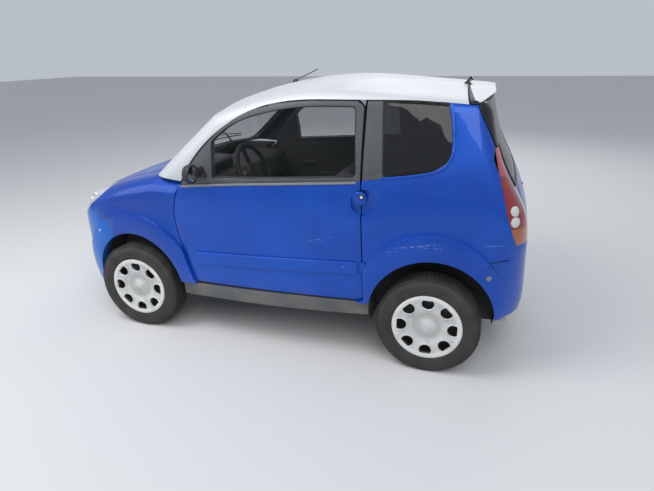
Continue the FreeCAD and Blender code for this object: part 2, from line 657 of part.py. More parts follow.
floor = floor.cut(arch(REAR_ARCH, REAR_AXLE_X, 460, 900, 8)).cut(mirrored(arch(REAR_ARCH, REAR_AXLE_X, 460, 900, 8)))
export("floor_pan", floor.removeSplitter())


def liner(values, axle_x, inner_y, low):
    shell = arch(values, axle_x, inner_y, 760, 5.0).cut(arch(values, axle_x, inner_y + 4, 760, 1.0))
    shell = shell.common(box(-1600, 1600, inner_y, 760, low, 1000)).common(body_loft(DOOR_THICKNESS + SEAM))
    return shell.cut(side_prism(SILL, 550, 900, grow=SEAM))


front_liner = liner(FRONT_ARCH, FRONT_AXLE_X, 411.0, 240.0)
front_liner = front_liner.cut(box(FRONT_AXLE_X - 110, FRONT_AXLE_X + 110, 400, 420, 200, 480))
front_liner = front_liner.cut(Part.makeCylinder(48, 300, Vector(FRONT_AXLE_X, 508, 480)))
rear_liner = liner(REAR_ARCH, REAR_AXLE_X, 471.0, 232.0)
rear_liner = rear_liner.cut(box(REAR_AXLE_X - 110, REAR_AXLE_X + 90, 460, 480, 200, 400))
liners = [front_liner, mirrored(front_liner), rear_liner, mirrored(rear_liner)]
export("wheel_liners", Part.makeCompound(liners))

# Engine with its gearbox, radiator, fuel tank and exhaust
engine = box(640, 1010, -270, 230, RAIL_TOP + 0.3, 640)
engine = engine.makeFillet(18.0, [e for e in engine.Edges if abs(e.BoundBox.ZMax - e.BoundBox.ZMin) > 100])
for x in (690, 900):
    engine = engine.fuse(box(x, x + 60, -312, 312, RAIL_TOP + 0.3, RAIL_TOP + 14))
export("engine_block", engine.removeSplitter())
tank = box(-1180, -1010, -260, 260, RAIL_TOP + 0.3, 400)
tank = tank.fuse(box(-1165, -1025, -312, 312, RAIL_TOP + 0.3, RAIL_TOP + 6)).removeSplitter()
export("fuel_tank", tank)
silencer = Part.makeCylinder(52, 260, Vector(-1262, -160, 300), Vector(0, 1, 0))
tail_pipe = Part.makeCylinder(16, 150, Vector(-1262, -100, 262), Vector(-0.55, 0, -1))
silencer = silencer.fuse(tail_pipe.common(box(-1345, -1200, -200, 200, 170, 300)))
for y in (-130, 45):
    silencer = silencer.fuse(box(-1236, -1222, y, y + 30, RAIL_TOP + 0.3, 262))
export("exhaust", silencer.removeSplitter())

# Dashboard and seats
dash = side_prism(((330, 720, 20), (580, 700), (580, 905), (430, 945, 30), (330, 880, 40)), -560, 560)
dash_corner = box(300, 450, 541, 600, 600, 1000)
dash = dash.cut(dash_corner).cut(mirrored(dash_corner))
dash = dash.common(moved(nose_outer, 0, 0, -DOOR_THICKNESS - 0.6))
export("dashboard", dash)
CUSHION = ((-330, 330, 35), (170, 360, 35), (185, 450, 35), (-330, 430, 35))
BACK = ((-345, 402, 40), (-250, 422, 30), (-395, 1010, 45), (-500, 985, 45))
seat_lower = side_prism(CUSHION, 60, 520).fuse(mirrored(side_prism(CUSHION, 60, 520)))
seat_upper = side_prism(BACK, 70, 510).fuse(mirrored(side_prism(BACK, 70, 510)))
for y0, y1 in ((70, 510), (-510, -70)):
    seat_lower = seat_lower.cut(side_prism(BACK, y0 - 2, y1 + 2, grow=SEAM))
export("seat_cushions", seat_lower)
export("seat_backs", seat_upper)
base_side = ((-290, FLOOR_Z + 8.3), (120, FLOOR_Z + 8.3), (120, 356.6), (-290, 331.9))
base = side_prism(base_side, 90, 490)
base = base.cut(box(-400, 300, 110, 470, 200, 300)).cut(box(-270, 100, 0, 600, 200, 300))
export("seat_bases", both_sides(base))

# Steering column and wheel
WHEEL_C = (175.0, 300.0, 905.0)
COLUMN_DIR = Vector(1.0, 0.0, -0.42)
COLUMN_DIR.normalize()
hub = Vector(*WHEEL_C)
boss_end = hub + COLUMN_DIR * 30
column = Part.makeCylinder(34, 190, hub + COLUMN_DIR * 38, COLUMN_DIR)
column = column.cut(Part.makeCylinder(10.4, 60, hub + COLUMN_DIR * 30, COLUMN_DIR))
column_cut = dash
column = column.cut(side_prism(((330 - SEAM, 700), (590, 690), (590, 960), (330 - SEAM, 960)), -590, 590))
export("steering_column", max(column.Solids, key=lambda q: q.Volume))
rim = Part.makeTorus(170, 15, Vector(0, 0, 0), Vector(0, 0, 1))
spokes = Part.makeCylinder(46, 22, Vector(0, 0, 6))
for angle in (0, 180, 270):
    spoke = Part.makeBox(125, 34, 12, Vector(38, -17, 4))
    spoke.rotate(Vector(0, 0, 0), Vector(0, 0, 1), angle)
    spokes = spokes.fuse(spoke)
wheel = rim.fuse(spokes).fuse(Part.makeCylinder(10, 60, Vector(0, 0, 20)))
wheel.Placement = FreeCAD.Placement(hub, FreeCAD.Rotation(Vector(0, 0, 1), COLUMN_DIR))
export("steering_wheel", wheel)

# Wheels: steel rim with a covering trim, and tyre
KINGPIN_Y = 585.0
AXLE_Z = TYRE_RADIUS
TYRE_FACETS = 80
TYRE_PROFILE = (
    (166, -62), (214, -72.5), (256, -57), (TYRE_RADIUS, -42), (TYRE_RADIUS, 42), (256, 57),
    (214, 72.5), (178, 61.5), (166, 61.5),
)
RIM_PROFILE = (
    (14.5, -24), (58, -24), (62, 8), (132, 2), (150, -6), (152, -62), (165.7, -62),
    (165.7, 62.5), (177, 62.5), (177.5, 65), (174, 67.5), (162, 68), (154, 64.5), (104, 57),
    (64, 54), (52, 59), (34, 63), (0.01, 64), (0.01, 30), (14.5, 30),
)
RIM_HOLLOW = ((62, 13), (132, 7), (151, 2), (151, 58), (104, 52), (62, 49))
TRIM_HOLES = 8
TRIM_HOLE_R = 23.0


def revolved(profile, x, y, z):
    points = [Vector(0, d, r) for r, d in profile]
    points.append(points[0])
    solid = Part.Face(Part.makePolygon(points)).revolve(Vector(0, 0, 0), Vector(0, 1, 0), 360)
    return solid.translated(Vector(x, y, z))


def faceted(profile, facets):
    """A ring of flat facets, whose corners lie on the turned form."""
    rings = []
    for i in range(facets):
        turn = 2 * math.pi * i / facets
        rings.append([Vector(r * math.cos(turn), d, r * math.sin(turn)) for r, d in profile])
    faces = []
    for i, ring in enumerate(rings):
        after = rings[(i + 1) % facets]
        for j, corner in enumerate(ring):
            k = (j + 1) % len(ring)
            faces.append(Part.Face(Part.makePolygon([corner, ring[k], after[k], after[j], corner])))
    solid = Part.makeSolid(Part.makeShell(faces))
    if solid.Volume < 0:
        solid.reverse()
    return solid


def road_wheel():
    solid = revolved(RIM_PROFILE, 0, 0, 0)
    solid = solid.cut(revolved(RIM_HOLLOW, 0, 0, 0))
    for i in range(TRIM_HOLES):
        hole = Part.makeCylinder(TRIM_HOLE_R, 30, Vector(124, 45, 0), Vector(0, 1, 0))
        hole = hole.common(box(90, 145, 40, 80, -30, 30))
        hole.rotate(Vector(0, 0, 0), Vector(0, 1, 0), 360.0 / TRIM_HOLES * i)
        solid = solid.cut(hole)
    return solid


wheel_body = road_wheel()
tyre_body = faceted(TYRE_PROFILE, TYRE_FACETS)
for name, x in (("front", FRONT_AXLE_X), ("rear", REAR_AXLE_X)):
    for side, flip in (("left", False), ("right", True)):
        w = wheel_body.translated(Vector(x, WHEEL_CENTRE_Y, AXLE_Z))
        t = tyre_body.translated(Vector(x, WHEEL_CENTRE_Y, AXLE_Z))
        export("rim_%s_%s" % (name, side), mirrored(w) if flip else w)
        export("tyre_%s_%s" % (name, side), mirrored(t) if flip else t)

# Knuckles carry the front wheels and turn about upright pins
knuckle = Part.makeCylinder(14, 82, Vector(FRONT_AXLE_X, KINGPIN_Y - 6, AXLE_Z), Vector(0, 1, 0))
knuckle = knuckle.fuse(Part.makeCylinder(40, 14, Vector(FRONT_AXLE_X, KINGPIN_Y - 6, AXLE_Z), Vector(0, 1, 0)))
knuckle = knuckle.fuse(box(FRONT_AXLE_X - 20, FRONT_AXLE_X + 20, KINGPIN_Y - 18, KINGPIN_Y - 4, AXLE_Z - 80, AXLE_Z + 100))
knuckle = knuckle.fuse(box(FRONT_AXLE_X - 20, FRONT_AXLE_X + 20, KINGPIN_Y - 18, KINGPIN_Y + 16, AXLE_Z - 80, AXLE_Z - 62))
knuckle = knuckle.fuse(Part.makeCylinder(7.95, 26, Vector(FRONT_AXLE_X, KINGPIN_Y, AXLE_Z - 100)))
knuckle = knuckle.fuse(box(FRONT_AXLE_X - 20, FRONT_AXLE_X + 20, KINGPIN_Y - 92, KINGPIN_Y - 4, AXLE_Z + 88, AXLE_Z + 100))
export("knuckle_left", knuckle.removeSplitter())
export("knuckle_right", mirrored(knuckle.removeSplitter()))

# Front suspension: lower arms from the rails, and struts above
arm_z = AXLE_Z - 100
lower_arm = plan_prism(((FRONT_AXLE_X - 26, KINGPIN_Y + 22, 20), (FRONT_AXLE_X + 26, KINGPIN_Y + 22, 20), (FRONT_AXLE_X + 30, 480), (FRONT_AXLE_X + 120, RAIL_Y + 25.3), (FRONT_AXLE_X - 120, RAIL_Y + 25.3), (FRONT_AXLE_X - 30, 480)), arm_z - 6, arm_z + 12)
lower_arm = lower_arm.cut(Part.makeCylinder(8, 60, Vector(FRONT_AXLE_X, KINGPIN_Y, arm_z - 20)))
strut = Part.makeCylinder(26, 250, Vector(FRONT_AXLE_X, 508, AXLE_Z + 106))
strut = strut.fuse(Part.makeCylinder(44, 22, Vector(FRONT_AXLE_X, 508, AXLE_Z + 300)))
strut = strut.fuse(box(FRONT_AXLE_X - 30, FRONT_AXLE_X + 30, 380, 520, AXLE_Z + 340, AXLE_Z + 352))
tower = box(FRONT_AXLE_X - 30, FRONT_AXLE_X + 30, 380, 392, RAIL_TOP + 0.3, AXLE_Z + 352)
tower = tower.fuse(box(FRONT_AXLE_X - 30, FRONT_AXLE_X + 30, 290, 392, RAIL_TOP + 0.3, RAIL_TOP + 12))
strut = strut.fuse(tower)
export("front_suspension", *[q for q in (lower_arm, mirrored(lower_arm), strut, mirrored(strut))])

# Rear suspension: a tube axle on trailing arms, with dampers
axle = cylinder_y(26, REAR_AXLE_X, AXLE_Z, -540, 540)
axle = axle.fuse(cylinder_y(14, REAR_AXLE_X, AXLE_Z, -664.5, 664.5))
for y in (-430, 430):
    axle = axle.fuse(cylinder_y(24, REAR_AXLE_X, AXLE_Z, y - 1, y + 1))
    axle = axle.fuse(tube((REAR_AXLE_X, y, AXLE_Z), (-640, y, 262), 18))
    axle = axle.fuse(tube((REAR_AXLE_X, y, AXLE_Z), (REAR_AXLE_X - 30, y, 421.5), 22))
axle = axle.cut(box(-1000, -800, -470, 470, 421.7, 500))
for y in (-375, 375):
    axle = axle.fuse(box(-660, -620, min(y, y * 0.867), max(y, y * 0.867), 236, 272))
for y in (-1, 1):
    axle = axle.fuse(box(-660, -624, min(y * 330, y * 440), max(y * 330, y * 440), 246, 274))
    axle = axle.fuse(box(-660, -624, min(y * 290, y * 340), max(y * 290, y * 340), RAIL_TOP + 0.3, 274))
export("rear_suspension", axle.removeSplitter())
export("quarter_strips", both_sides(rear_strip))
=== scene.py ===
# %% [markdown]
# # A two-seat city car, dressed in Blender
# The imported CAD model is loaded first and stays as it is. This script gives it its looks: each
# panel gets a copy with softened edges, and what the CAD model leaves out, such as tread, seals,
# lamp insides, wipers and padded seats, is modelled here. Sizes are in metres, X forward, Y to the
# car's left and Z up.

import json
import math

import bpy
from mathutils import Matrix, Vector
from mathutils.bvhtree import BVHTree

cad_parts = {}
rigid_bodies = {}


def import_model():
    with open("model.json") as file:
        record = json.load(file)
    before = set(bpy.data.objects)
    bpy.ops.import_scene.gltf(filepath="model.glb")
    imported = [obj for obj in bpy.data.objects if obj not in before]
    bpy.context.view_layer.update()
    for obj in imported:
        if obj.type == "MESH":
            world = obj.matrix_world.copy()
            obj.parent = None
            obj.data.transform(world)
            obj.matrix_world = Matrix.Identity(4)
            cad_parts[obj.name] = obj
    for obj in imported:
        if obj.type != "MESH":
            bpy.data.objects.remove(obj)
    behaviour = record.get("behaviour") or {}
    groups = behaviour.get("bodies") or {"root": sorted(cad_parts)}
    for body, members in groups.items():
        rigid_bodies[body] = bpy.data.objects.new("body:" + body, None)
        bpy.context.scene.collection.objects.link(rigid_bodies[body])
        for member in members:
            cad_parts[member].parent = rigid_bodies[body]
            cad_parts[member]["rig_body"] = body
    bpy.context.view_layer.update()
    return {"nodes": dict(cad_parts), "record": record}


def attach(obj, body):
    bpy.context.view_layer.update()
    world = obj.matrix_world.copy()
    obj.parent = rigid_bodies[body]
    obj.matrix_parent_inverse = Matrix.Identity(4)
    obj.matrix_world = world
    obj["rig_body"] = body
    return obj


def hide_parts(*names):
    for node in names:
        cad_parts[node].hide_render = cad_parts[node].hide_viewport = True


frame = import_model()

# %% [markdown]
# ## Shader maths as plain sums
# A material here is a tree of nodes. Wiring one by hand takes many lines, so a small class wraps
# one output socket, and a sum on two wrapped sockets adds the Math node for it. Every other node
# comes from `Surface.node`, which sets the node's own settings first and its sockets after.

# %% Wrap a socket
class Value:
    """A number or colour that changes over the surface."""

    def __init__(self, surface, socket):
        self.surface = surface
        self.socket = socket

    def math(self, operation, *others):
        inputs = dict(enumerate((self, *others)))
        made = self.surface.node("ShaderNodeMath", inputs, operation=operation)
        return Value(self.surface, made.outputs[0])

    def __add__(self, other):
        return self.math("ADD", other)

    def __mul__(self, other):
        return self.math("MULTIPLY", other)

    def __sub__(self, other):
        return self.math("SUBTRACT", other)

    def __rsub__(self, other):
        made = self.surface.node("ShaderNodeMath", {0: other, 1: self}, operation="SUBTRACT")
        return Value(self.surface, made.outputs[0])

    __radd__ = __add__
    __rmul__ = __mul__

    def size(self):
        return self.math("ABSOLUTE")

    def wave(self):
        return self.math("SINE")

    def highest(self, other):
        return self.math("MAXIMUM", other)

    def step(self, low, high):
        """0 before low and 1 past high, smooth between. It falls where low is the larger."""
        ends = (0.0, 1.0) if low < high else (1.0, 0.0)
        made = self.surface.node(
            "ShaderNodeMapRange",
            {
                "Value": self, "From Min": min(low, high), "From Max": max(low, high),
                "To Min": ends[0], "To Max": ends[1],
            },
            interpolation_type="SMOOTHSTEP",
        )
        return Value(self.surface, made.outputs["Result"])

    def pick(self, low, high):
        """A colour: low where this number is 0, high where it is 1."""
        ends = [(*end, 1.0) if isinstance(end, tuple) else end for end in (low, high)]
        made = self.surface.node(
            "ShaderNodeMix", {0: self, 6: ends[0], 7: ends[1]}, data_type="RGBA"
        )
        return Value(self.surface, made.outputs[2])


class Surface:
    """One Principled material. Keyword values are set on the shader's own sockets."""

    def __init__(self, name, **values):
        self.material = bpy.data.materials.new(name)
        self.material.use_nodes = True
        self.tree = self.material.node_tree
        self.shader = self.tree.nodes["Principled BSDF"]
        self.place = Value(self, self.node("ShaderNodeTexCoord").outputs["Object"])
        split = self.node("ShaderNodeSeparateXYZ", {0: self.place})
        self.x, self.y, self.z = (Value(self, socket) for socket in split.outputs)
        for key, value in values.items():
            slot = self.shader.inputs[key.replace("_", " ").title().replace("Ior", "IOR")]
            slot.default_value = (*value, 1.0) if isinstance(value, tuple) else value

    def node(self, kind, inputs=None, **settings):
        made = self.tree.nodes.new(kind)
        for key, value in settings.items():
            setattr(made, key, value)
        for key, value in (inputs or {}).items():
            if isinstance(value, Value):
                self.tree.links.new(value.socket, made.inputs[key])
            else:
                made.inputs[key].default_value = value
        return made

    def stretched(self, stretch):
        return Value(self, self.node("ShaderNodeMapping", {0: self.place, "Scale": stretch}).outputs[0])

    def noise(self, scale, detail=2.0, stretch=(1, 1, 1)):
        made = self.node(
            "ShaderNodeTexNoise",
            {"Vector": self.stretched(stretch), "Scale": scale, "Detail": detail},
        )
        return Value(self, made.outputs["Fac"])

    def cells(self, scale, stretch=(1, 1, 1)):
        made = self.node("ShaderNodeTexVoronoi", {"Vector": self.stretched(stretch), "Scale": scale})
        return Value(self, made.outputs["Distance"])

    def feed(self, name, value):
        self.tree.links.new(value.socket, self.shader.inputs[name])

    def bump(self, height, distance, strength=1.0):
        made = self.node(
            "ShaderNodeBump", {"Distance": distance, "Strength": strength, "Height": height}
        )
        self.tree.links.new(made.outputs[0], self.shader.inputs["Normal"])


# %% [markdown]
# ## Dust and paint
# A car that stands on grass is dusty low down and cleaner towards the roof. The dust is a number
# that grows towards the road and is broken up by noise. It turns the paint towards earth, makes it
# rough and takes the clear coat away. The paint under it is a metallic: tiny flakes vary its
# colour, and a broad drift keeps large panels from looking like one flat colour.

# %% Dust and paint
DUST = (0.24, 0.21, 0.17)


def dust_on(surface, top, strength):
    return surface.z.step(top, 0.10) * surface.noise(9.0, 5.0).step(0.35, 0.8) * strength


def paint(name, dark, light, metallic=0.35, dust_top=0.5, dust=0.36, roughness=0.36, coat=0.6):
    surface = Surface(
        name, metallic=metallic, coat_roughness=0.05, coat_ior=1.38, specular_ior_level=0.3
    )
    flake = surface.noise(900.0, 1.0)
    colour = (flake * 0.4 + surface.noise(2.2) * 0.6).step(0.32, 0.68).pick(dark, light)
    specks = surface.noise(170.0, 3.0).step(0.67, 0.75) * surface.noise(6.0).step(0.45, 0.7) * 0.18
    grime = dust_on(surface, dust_top, dust).highest(specks)
    surface.feed("Base Color", grime.pick(colour, DUST))
    surface.feed("Roughness", grime * 0.5 + roughness + flake * 0.06)
    surface.feed("Coat Weight", coat - grime * coat)
    surface.bump(surface.noise(22.0, 1.0) * 0.5 + surface.noise(420.0, 1.0) * 0.1, 0.0003, 0.3)
    return surface

body_paint = paint("body_paint", (0.0012, 0.044, 0.33), (0.002, 0.078, 0.47))
# A darker blue for the dish behind each door handle: painted shade, since the dish is deep.
dish_shade_paint = paint("dish_shade_paint", (0.0008, 0.014, 0.11), (0.001, 0.024, 0.17))
bumper_paint = paint("bumper_paint", (0.0012, 0.100, 0.47), (0.002, 0.155, 0.60), dust=0.45)
silver_paint = paint(
    "silver_paint", (0.49, 0.505, 0.53), (0.59, 0.605, 0.63), 0.3, dust=0.2, roughness=0.52, coat=0.12
)
sill_paint = paint(
    "sill_paint", (0.080, 0.085, 0.090), (0.120, 0.126, 0.132), 0.3, 0.60, 0.8, 0.45, coat=0.3
)
PAINTS = (body_paint, dish_shade_paint, bumper_paint, silver_paint, sill_paint)
print("paints:", [surface.material.name for surface in PAINTS])

# %% [markdown]
# Fine pale scratches run along the car's left side. They are far too thin for geometry, so they
# are colour only: each is a line between two points that wavers a little, is broken up by noise
# and fades at its ends.

# %% Scratches
def scratches(surface, colour, marks):
    """Fine pale scratches on the left side: x and z of both ends, half width and strength."""
    under = Value(surface, surface.shader.inputs["Base Color"].links[0].from_socket)
    waver = (surface.noise(30.0, 3.0) - 0.5) * 0.012
    broken = surface.noise(55.0, 3.0).step(0.4, 0.6)
    worn = None
    for x0, z0, x1, z1, width, strength in marks:
        run = math.hypot(x1 - x0, z1 - z0)
        ux, uz = (x1 - x0) / run, (z1 - z0) / run
        along = (surface.x - x0) * ux + (surface.z - z0) * uz
        across = (surface.z - z0) * ux - (surface.x - x0) * uz + waver
        ends = along.step(0.0, run * 0.15) * along.step(run, run * 0.8)
        mark = across.size().step(width, width * 0.3) * ends * broken * strength
        worn = mark if worn is None else worn.highest(mark)
    surface.feed("Base Color", (worn * surface.y.step(0.0, 0.1)).pick(under, colour))


SCRATCHES = (
    (-0.285, 0.668, -0.43, 0.705, 0.0014, 0.8),
    (-0.30, 0.655, -0.40, 0.682, 0.0011, 0.6),
    (-0.72, 0.672, -0.96, 0.712, 0.0020, 0.9),
    (-0.78, 0.690, -1.02, 0.684, 0.0014, 0.7),
    (-0.68, 0.648, -0.76, 0.662, 0.0012, 0.6),
    (-1.13, 0.705, -1.26, 0.715, 0.0016, 0.7),
    (-0.366, 0.541, -0.378, 0.545, 0.0026, 1.0),
    (-0.472, 0.549, -0.484, 0.552, 0.0026, 1.0),
)
scratches(body_paint, (0.26, 0.38, 0.58), SCRATCHES)
print("scratches:", len(SCRATCHES))

# %% [markdown]
# ## Plastic and rubber
# Outside trim is moulded plastic with a fine grain. The grain is a bump from a cell texture, and
# the colour varies a little, as sun-bleached plastic does. Rubber gets the same with finer cells.

# %% Plastic and rubber
def plastic(name, colour, roughness=0.55, grain=700.0, dust=0.22):
    surface = Surface(name)
    fleck = surface.noise(240.0, 3.0)
    dark, light = (tuple(min(1.0, c * k) for c in colour) for k in (0.78, 1.25))
    patches = surface.noise(14.0, 4.0).step(0.6, 0.85) * (dust * 0.4)
    grime = dust_on(surface, 0.7, dust).highest(patches)
    surface.feed("Base Color", grime.pick(fleck.step(0.35, 0.65).pick(dark, light), DUST))
    surface.feed("Roughness", grime * 0.3 + roughness + (fleck - 0.5) * 0.1)
    surface.bump(surface.cells(grain), 0.0004, 0.5)
    return surface


black_plastic = plastic("black_plastic", (0.016, 0.016, 0.017))
frame_plastic = plastic("grey_plastic", (0.058, 0.061, 0.067), 0.46)
belt_plastic = plastic("belt_plastic", (0.17, 0.185, 0.20), 0.40)
lining = plastic("dark_lining", (0.024, 0.024, 0.026), 0.7, 900.0, 0.1)
rubber = plastic("seal_rubber", (0.010, 0.010, 0.010), 0.6, 300.0, 0.12)
PLASTICS = (black_plastic, frame_plastic, belt_plastic, lining, rubber)
print("plastics:", [surface.material.name for surface in PLASTICS])

# %% [markdown]
# ## Glass
# Thin panes look right as a dark, shiny surface that lets part of the view through, so the panes
# use Alpha. A faint smear of dirt makes them a little duller in places.

# %% Glass
def glass(name, colour, alpha):
    surface = Surface(name, base_color=colour, ior=1.5)
    smear = surface.noise(5.0, 4.0, (1, 1, 2.5)).step(0.5, 0.9)
    surface.feed("Alpha", smear * 0.05 + alpha)
    surface.feed("Roughness", smear * 0.08 + 0.02)
    return surface


clear_glass = glass("clear_glass", (0.012, 0.016, 0.016), 0.13)
dark_glass = glass("dark_glass", (0.008, 0.009, 0.010), 0.74)
lens_clear = glass("lens_clear", (0.70, 0.73, 0.76), 0.32)
print("panes:", [surface.material.name for surface in (clear_glass, dark_glass, lens_clear)])

# %% [markdown]
# ## Lenses
# Lamp lenses are coloured plastic with moulded ribs under a clear skin. The ribs are a sine wave
# over the height, which tints the plastic and bends the light by a bump. The tail lamp is one lens
# in three colours, with a dark seam where two of them meet.

# %% Lenses
RIBS = 420.0


def lens(name, colour, ribs=RIBS):
    surface = Surface(name, roughness=0.10, coat_weight=0.9, coat_roughness=0.03)
    rib = (surface.z * ribs).wave()
    surface.feed("Base Color", rib.step(-1.0, 1.0).pick(tuple(c * 0.75 for c in colour), colour))
    surface.bump(rib, 0.0005, 0.6)
    return surface


lens_orange = lens("lens_orange", (0.60, 0.13, 0.01))
lens_white = lens("lens_white", (0.66, 0.66, 0.64), 700.0)

# Tail lamp colours from the top down: lower edge of each band, its colour
TAIL_BANDS = (
    (1.026, (0.40, 0.050, 0.075)), (0.790, (0.24, 0.003, 0.008)), (0.0, (0.36, 0.085, 0.012)),
)


def tail_lens():
    surface = Surface("lens_tail", roughness=0.09, coat_weight=0.9, coat_roughness=0.03)
    rib = (surface.z * RIBS).wave()
    colour = TAIL_BANDS[-1][1]
    seams = None
    for low, band in reversed(TAIL_BANDS[:-1]):
        colour = surface.z.step(low - 0.0006, low + 0.0006).pick(colour, band)
        seam = (surface.z - low).size().step(0.0022, 0.0012)
        seams = seam if seams is None else seams.highest(seam)
    glow = surface.noise(40.0, 2.0).step(0.3, 0.7) * 0.25
    surface.feed("Base Color", (seams + glow).pick(colour, (0.03, 0.004, 0.006)))
    surface.bump(rib * 0.6 - seams * 4.0, 0.0005, 0.7)
    return surface


lens_tail = tail_lens()
print("tail lamp bands:", len(TAIL_BANDS))

# %% [markdown]
# ## Metals
# The frame is bare aluminium and the running gear dusty black steel. One function makes them all:
# a colour, a sheen and the same dust that the paint has.

# %% Metals
def metal(name, colour, roughness=0.4, metallic=1.0, dust=0.3):
    surface = Surface(name, metallic=metallic)
    grime = dust_on(surface, 0.5, dust).highest(surface.noise(35.0, 5.0).step(0.55, 0.8) * dust)
    surface.feed("Base Color", grime.pick(colour, tuple(c * 0.5 for c in DUST)))
    surface.feed("Roughness", grime * 0.4 + roughness)
    surface.bump(surface.noise(300.0, 3.0), 0.0004, 0.3)
    return surface


steel = metal("steel", (0.08, 0.08, 0.08), 0.5, 0.8, 0.5)
frame_metal = metal("frame_metal", (0.45, 0.46, 0.47))
engine_metal = metal("engine_metal", (0.25, 0.25, 0.26), 0.5)
bright_metal = metal("bright_metal", (0.75, 0.76, 0.78), 0.16, 1.0, 0.05)
mirror_silver = metal("mirror_silver", (0.80, 0.82, 0.84), 0.03, 1.0, 0.0)
METALS = (steel, frame_metal, engine_metal, bright_metal, mirror_silver)
print("metals:", [surface.material.name for surface in METALS])

# %% [markdown]
# ## Wheel trim and tyre
# The wheel trims are silver plastic with dirt in patches, darker and browner all round the dish
# near the middle, and polished on the outer ring by years of washing. Such rings follow the radius,
# so these two finishes work out how far each point is from its axle.

# %% Wheel trim and tyre
FRONT_AXLE_X, REAR_AXLE_X, AXLE_Z = 0.805, -0.910, 0.262
WHEEL_Y = 0.635


def from_axle(surface):
    """Distance from the nearer axle line, for patterns that turn with a wheel."""
    front = surface.x.step(-0.001, 0.001)
    x = surface.x - (front * (FRONT_AXLE_X - REAR_AXLE_X) + REAR_AXLE_X)
    z = surface.z - AXLE_Z
    return (x * x + z * z).math("SQRT")


def trim_paint():
    surface = Surface("trim_silver", metallic=0.2, coat_roughness=0.2)
    r = from_axle(surface)
    ring = r.step(0.150, 0.156)
    dish = (r - 0.060).size().step(0.026, 0.006)
    grime = (surface.noise(18.0, 5.0).step(0.42, 0.85) * 0.45).highest(dish * 0.32)
    colour = ring.pick((0.58, 0.585, 0.57), (0.69, 0.695, 0.685))
    surface.feed("Base Color", grime.pick(colour, (0.16, 0.145, 0.12)))
    surface.feed("Roughness", grime * 0.3 + 0.38 - ring * 0.12)
    surface.bump(surface.noise(300.0), 0.0004, 0.25)
    return surface


wheel_trim = trim_paint()


def tyre_rubber():
    surface = Surface("tyre_rubber")
    r = from_axle(surface)
    rings = (r * 900.0).wave() * (r - 0.222).size().step(0.016, 0.010)
    grime = surface.noise(16.0, 5.0).step(0.35, 0.8) * 0.4
    surface.feed("Base Color", grime.pick((0.020, 0.019, 0.018), (0.075, 0.067, 0.055)))
    surface.feed("Roughness", grime * 0.2 + 0.66)
    surface.bump(surface.noise(260.0, 4.0) + rings * 0.5, 0.0006, 0.5)
    return surface


tyre_black = tyre_rubber()
print("axles at x", FRONT_AXLE_X, "and", REAR_AXLE_X)

# %% [markdown]
# ## Seat cloth
# The seats are a dark woven cloth with pale specks. The weave is three sine waves fed to a bump,
# and a slow drift keeps it from looking printed.

# %% Seat cloth
WEAVE = 1500.0


def seat_weave():
    surface = Surface("seat_cloth", roughness=0.9, sheen_weight=0.4)
    weave = (surface.x * WEAVE).wave() * (surface.y * WEAVE).wave() + (surface.z * WEAVE).wave()
    speck = surface.noise(420.0, 3.0).step(0.5, 0.62)
    drift = surface.noise(3.0).step(0.3, 0.7)
    colour = speck.pick((0.018, 0.019, 0.023), (0.060, 0.063, 0.075))
    surface.feed("Base Color", (drift * 0.3).pick(colour, (0.030, 0.032, 0.038)))
    surface.bump(weave, 0.0008, 0.5)
    return surface


seat_cloth = seat_weave()
print("cloth:", seat_cloth.material.name)

# %% [markdown]
# ## Working by hand in code
# Blender's operators act on whatever is selected. These helpers select one piece, step in and out
# of edit mode, and close a piece: its place goes into its mesh, and it is told which moving body
# it rides on.

# %% Select and edit
SIDES = (("left", 1), ("right", -1))
# Edges sharper than this many degrees are rounded
BEVEL_FROM = 40.0


def linked(name, data):
    """A new object in the scene."""
    piece = bpy.data.objects.new(name, data)
    bpy.context.scene.collection.objects.link(piece)
    return piece


def pick_only(piece):
    bpy.ops.object.select_all(action="DESELECT")
    piece.select_set(True)
    bpy.context.view_layer.objects.active = piece


def edit(piece, action="SELECT"):
    pick_only(piece)
    bpy.ops.object.mode_set(mode="EDIT")
    bpy.ops.mesh.select_all(action=action)


def leave_edit():
    bpy.ops.object.mode_set(mode="OBJECT")


def apply_modifiers(piece):
    pick_only(piece)
    for modifier in list(piece.modifiers):
        bpy.ops.object.modifier_apply(modifier=modifier.name)


def round_edges(piece, width, segments=2):
    bevel = piece.modifiers.new("edge", "BEVEL")
    bevel.width, bevel.segments = width, segments
    bevel.limit_method, bevel.angle_limit = "ANGLE", math.radians(BEVEL_FROM)
    apply_modifiers(piece)


def close_edit():
    """Turns every face outwards and leaves edit mode."""
    bpy.ops.mesh.select_all(action="SELECT")
    bpy.ops.mesh.normals_make_consistent(inside=False)
    leave_edit()


def fix_normals(piece):
    edit(piece)
    bpy.ops.mesh.remove_doubles(threshold=0.00001)
    close_edit()


def close_piece(piece, name, surface, body="body", slot="black_plastic", angle=35.0):
    pick_only(piece)
    bpy.ops.object.transform_apply(location=True, rotation=True, scale=True)
    piece.name = name
    if not piece.data.materials:
        piece.data.materials.append(surface.material)
    bpy.ops.object.shade_smooth_by_angle(angle=math.radians(angle))
    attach(piece, body)
    return piece


def joined(pieces):
    bpy.ops.object.select_all(action="DESELECT")
    for piece in pieces:
        piece.select_set(True)
    bpy.context.view_layer.objects.active = pieces[0]
    bpy.ops.object.join()
    return bpy.context.object


def twin(piece, name, body="body", mirror=True, shift=(0, 0, 0)):
    """The same piece on the car's other side, with a mesh of its own."""
    other = linked(name, piece.data.copy())
    if mirror:
        other.data.transform(Matrix.Scale(-1, 4, (0, 1, 0)))
        other.data.flip_normals()
    other.data.transform(Matrix.Translation(shift))
    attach(other, body)
    return other


# %% [markdown]
# ## Finding the skin
# Trim sits on curved panels. A ray sent at a CAD node finds the point and the direction that its
# skin faces there, so that no place on the skin has to be typed in.

# %% Rays
trees = {}


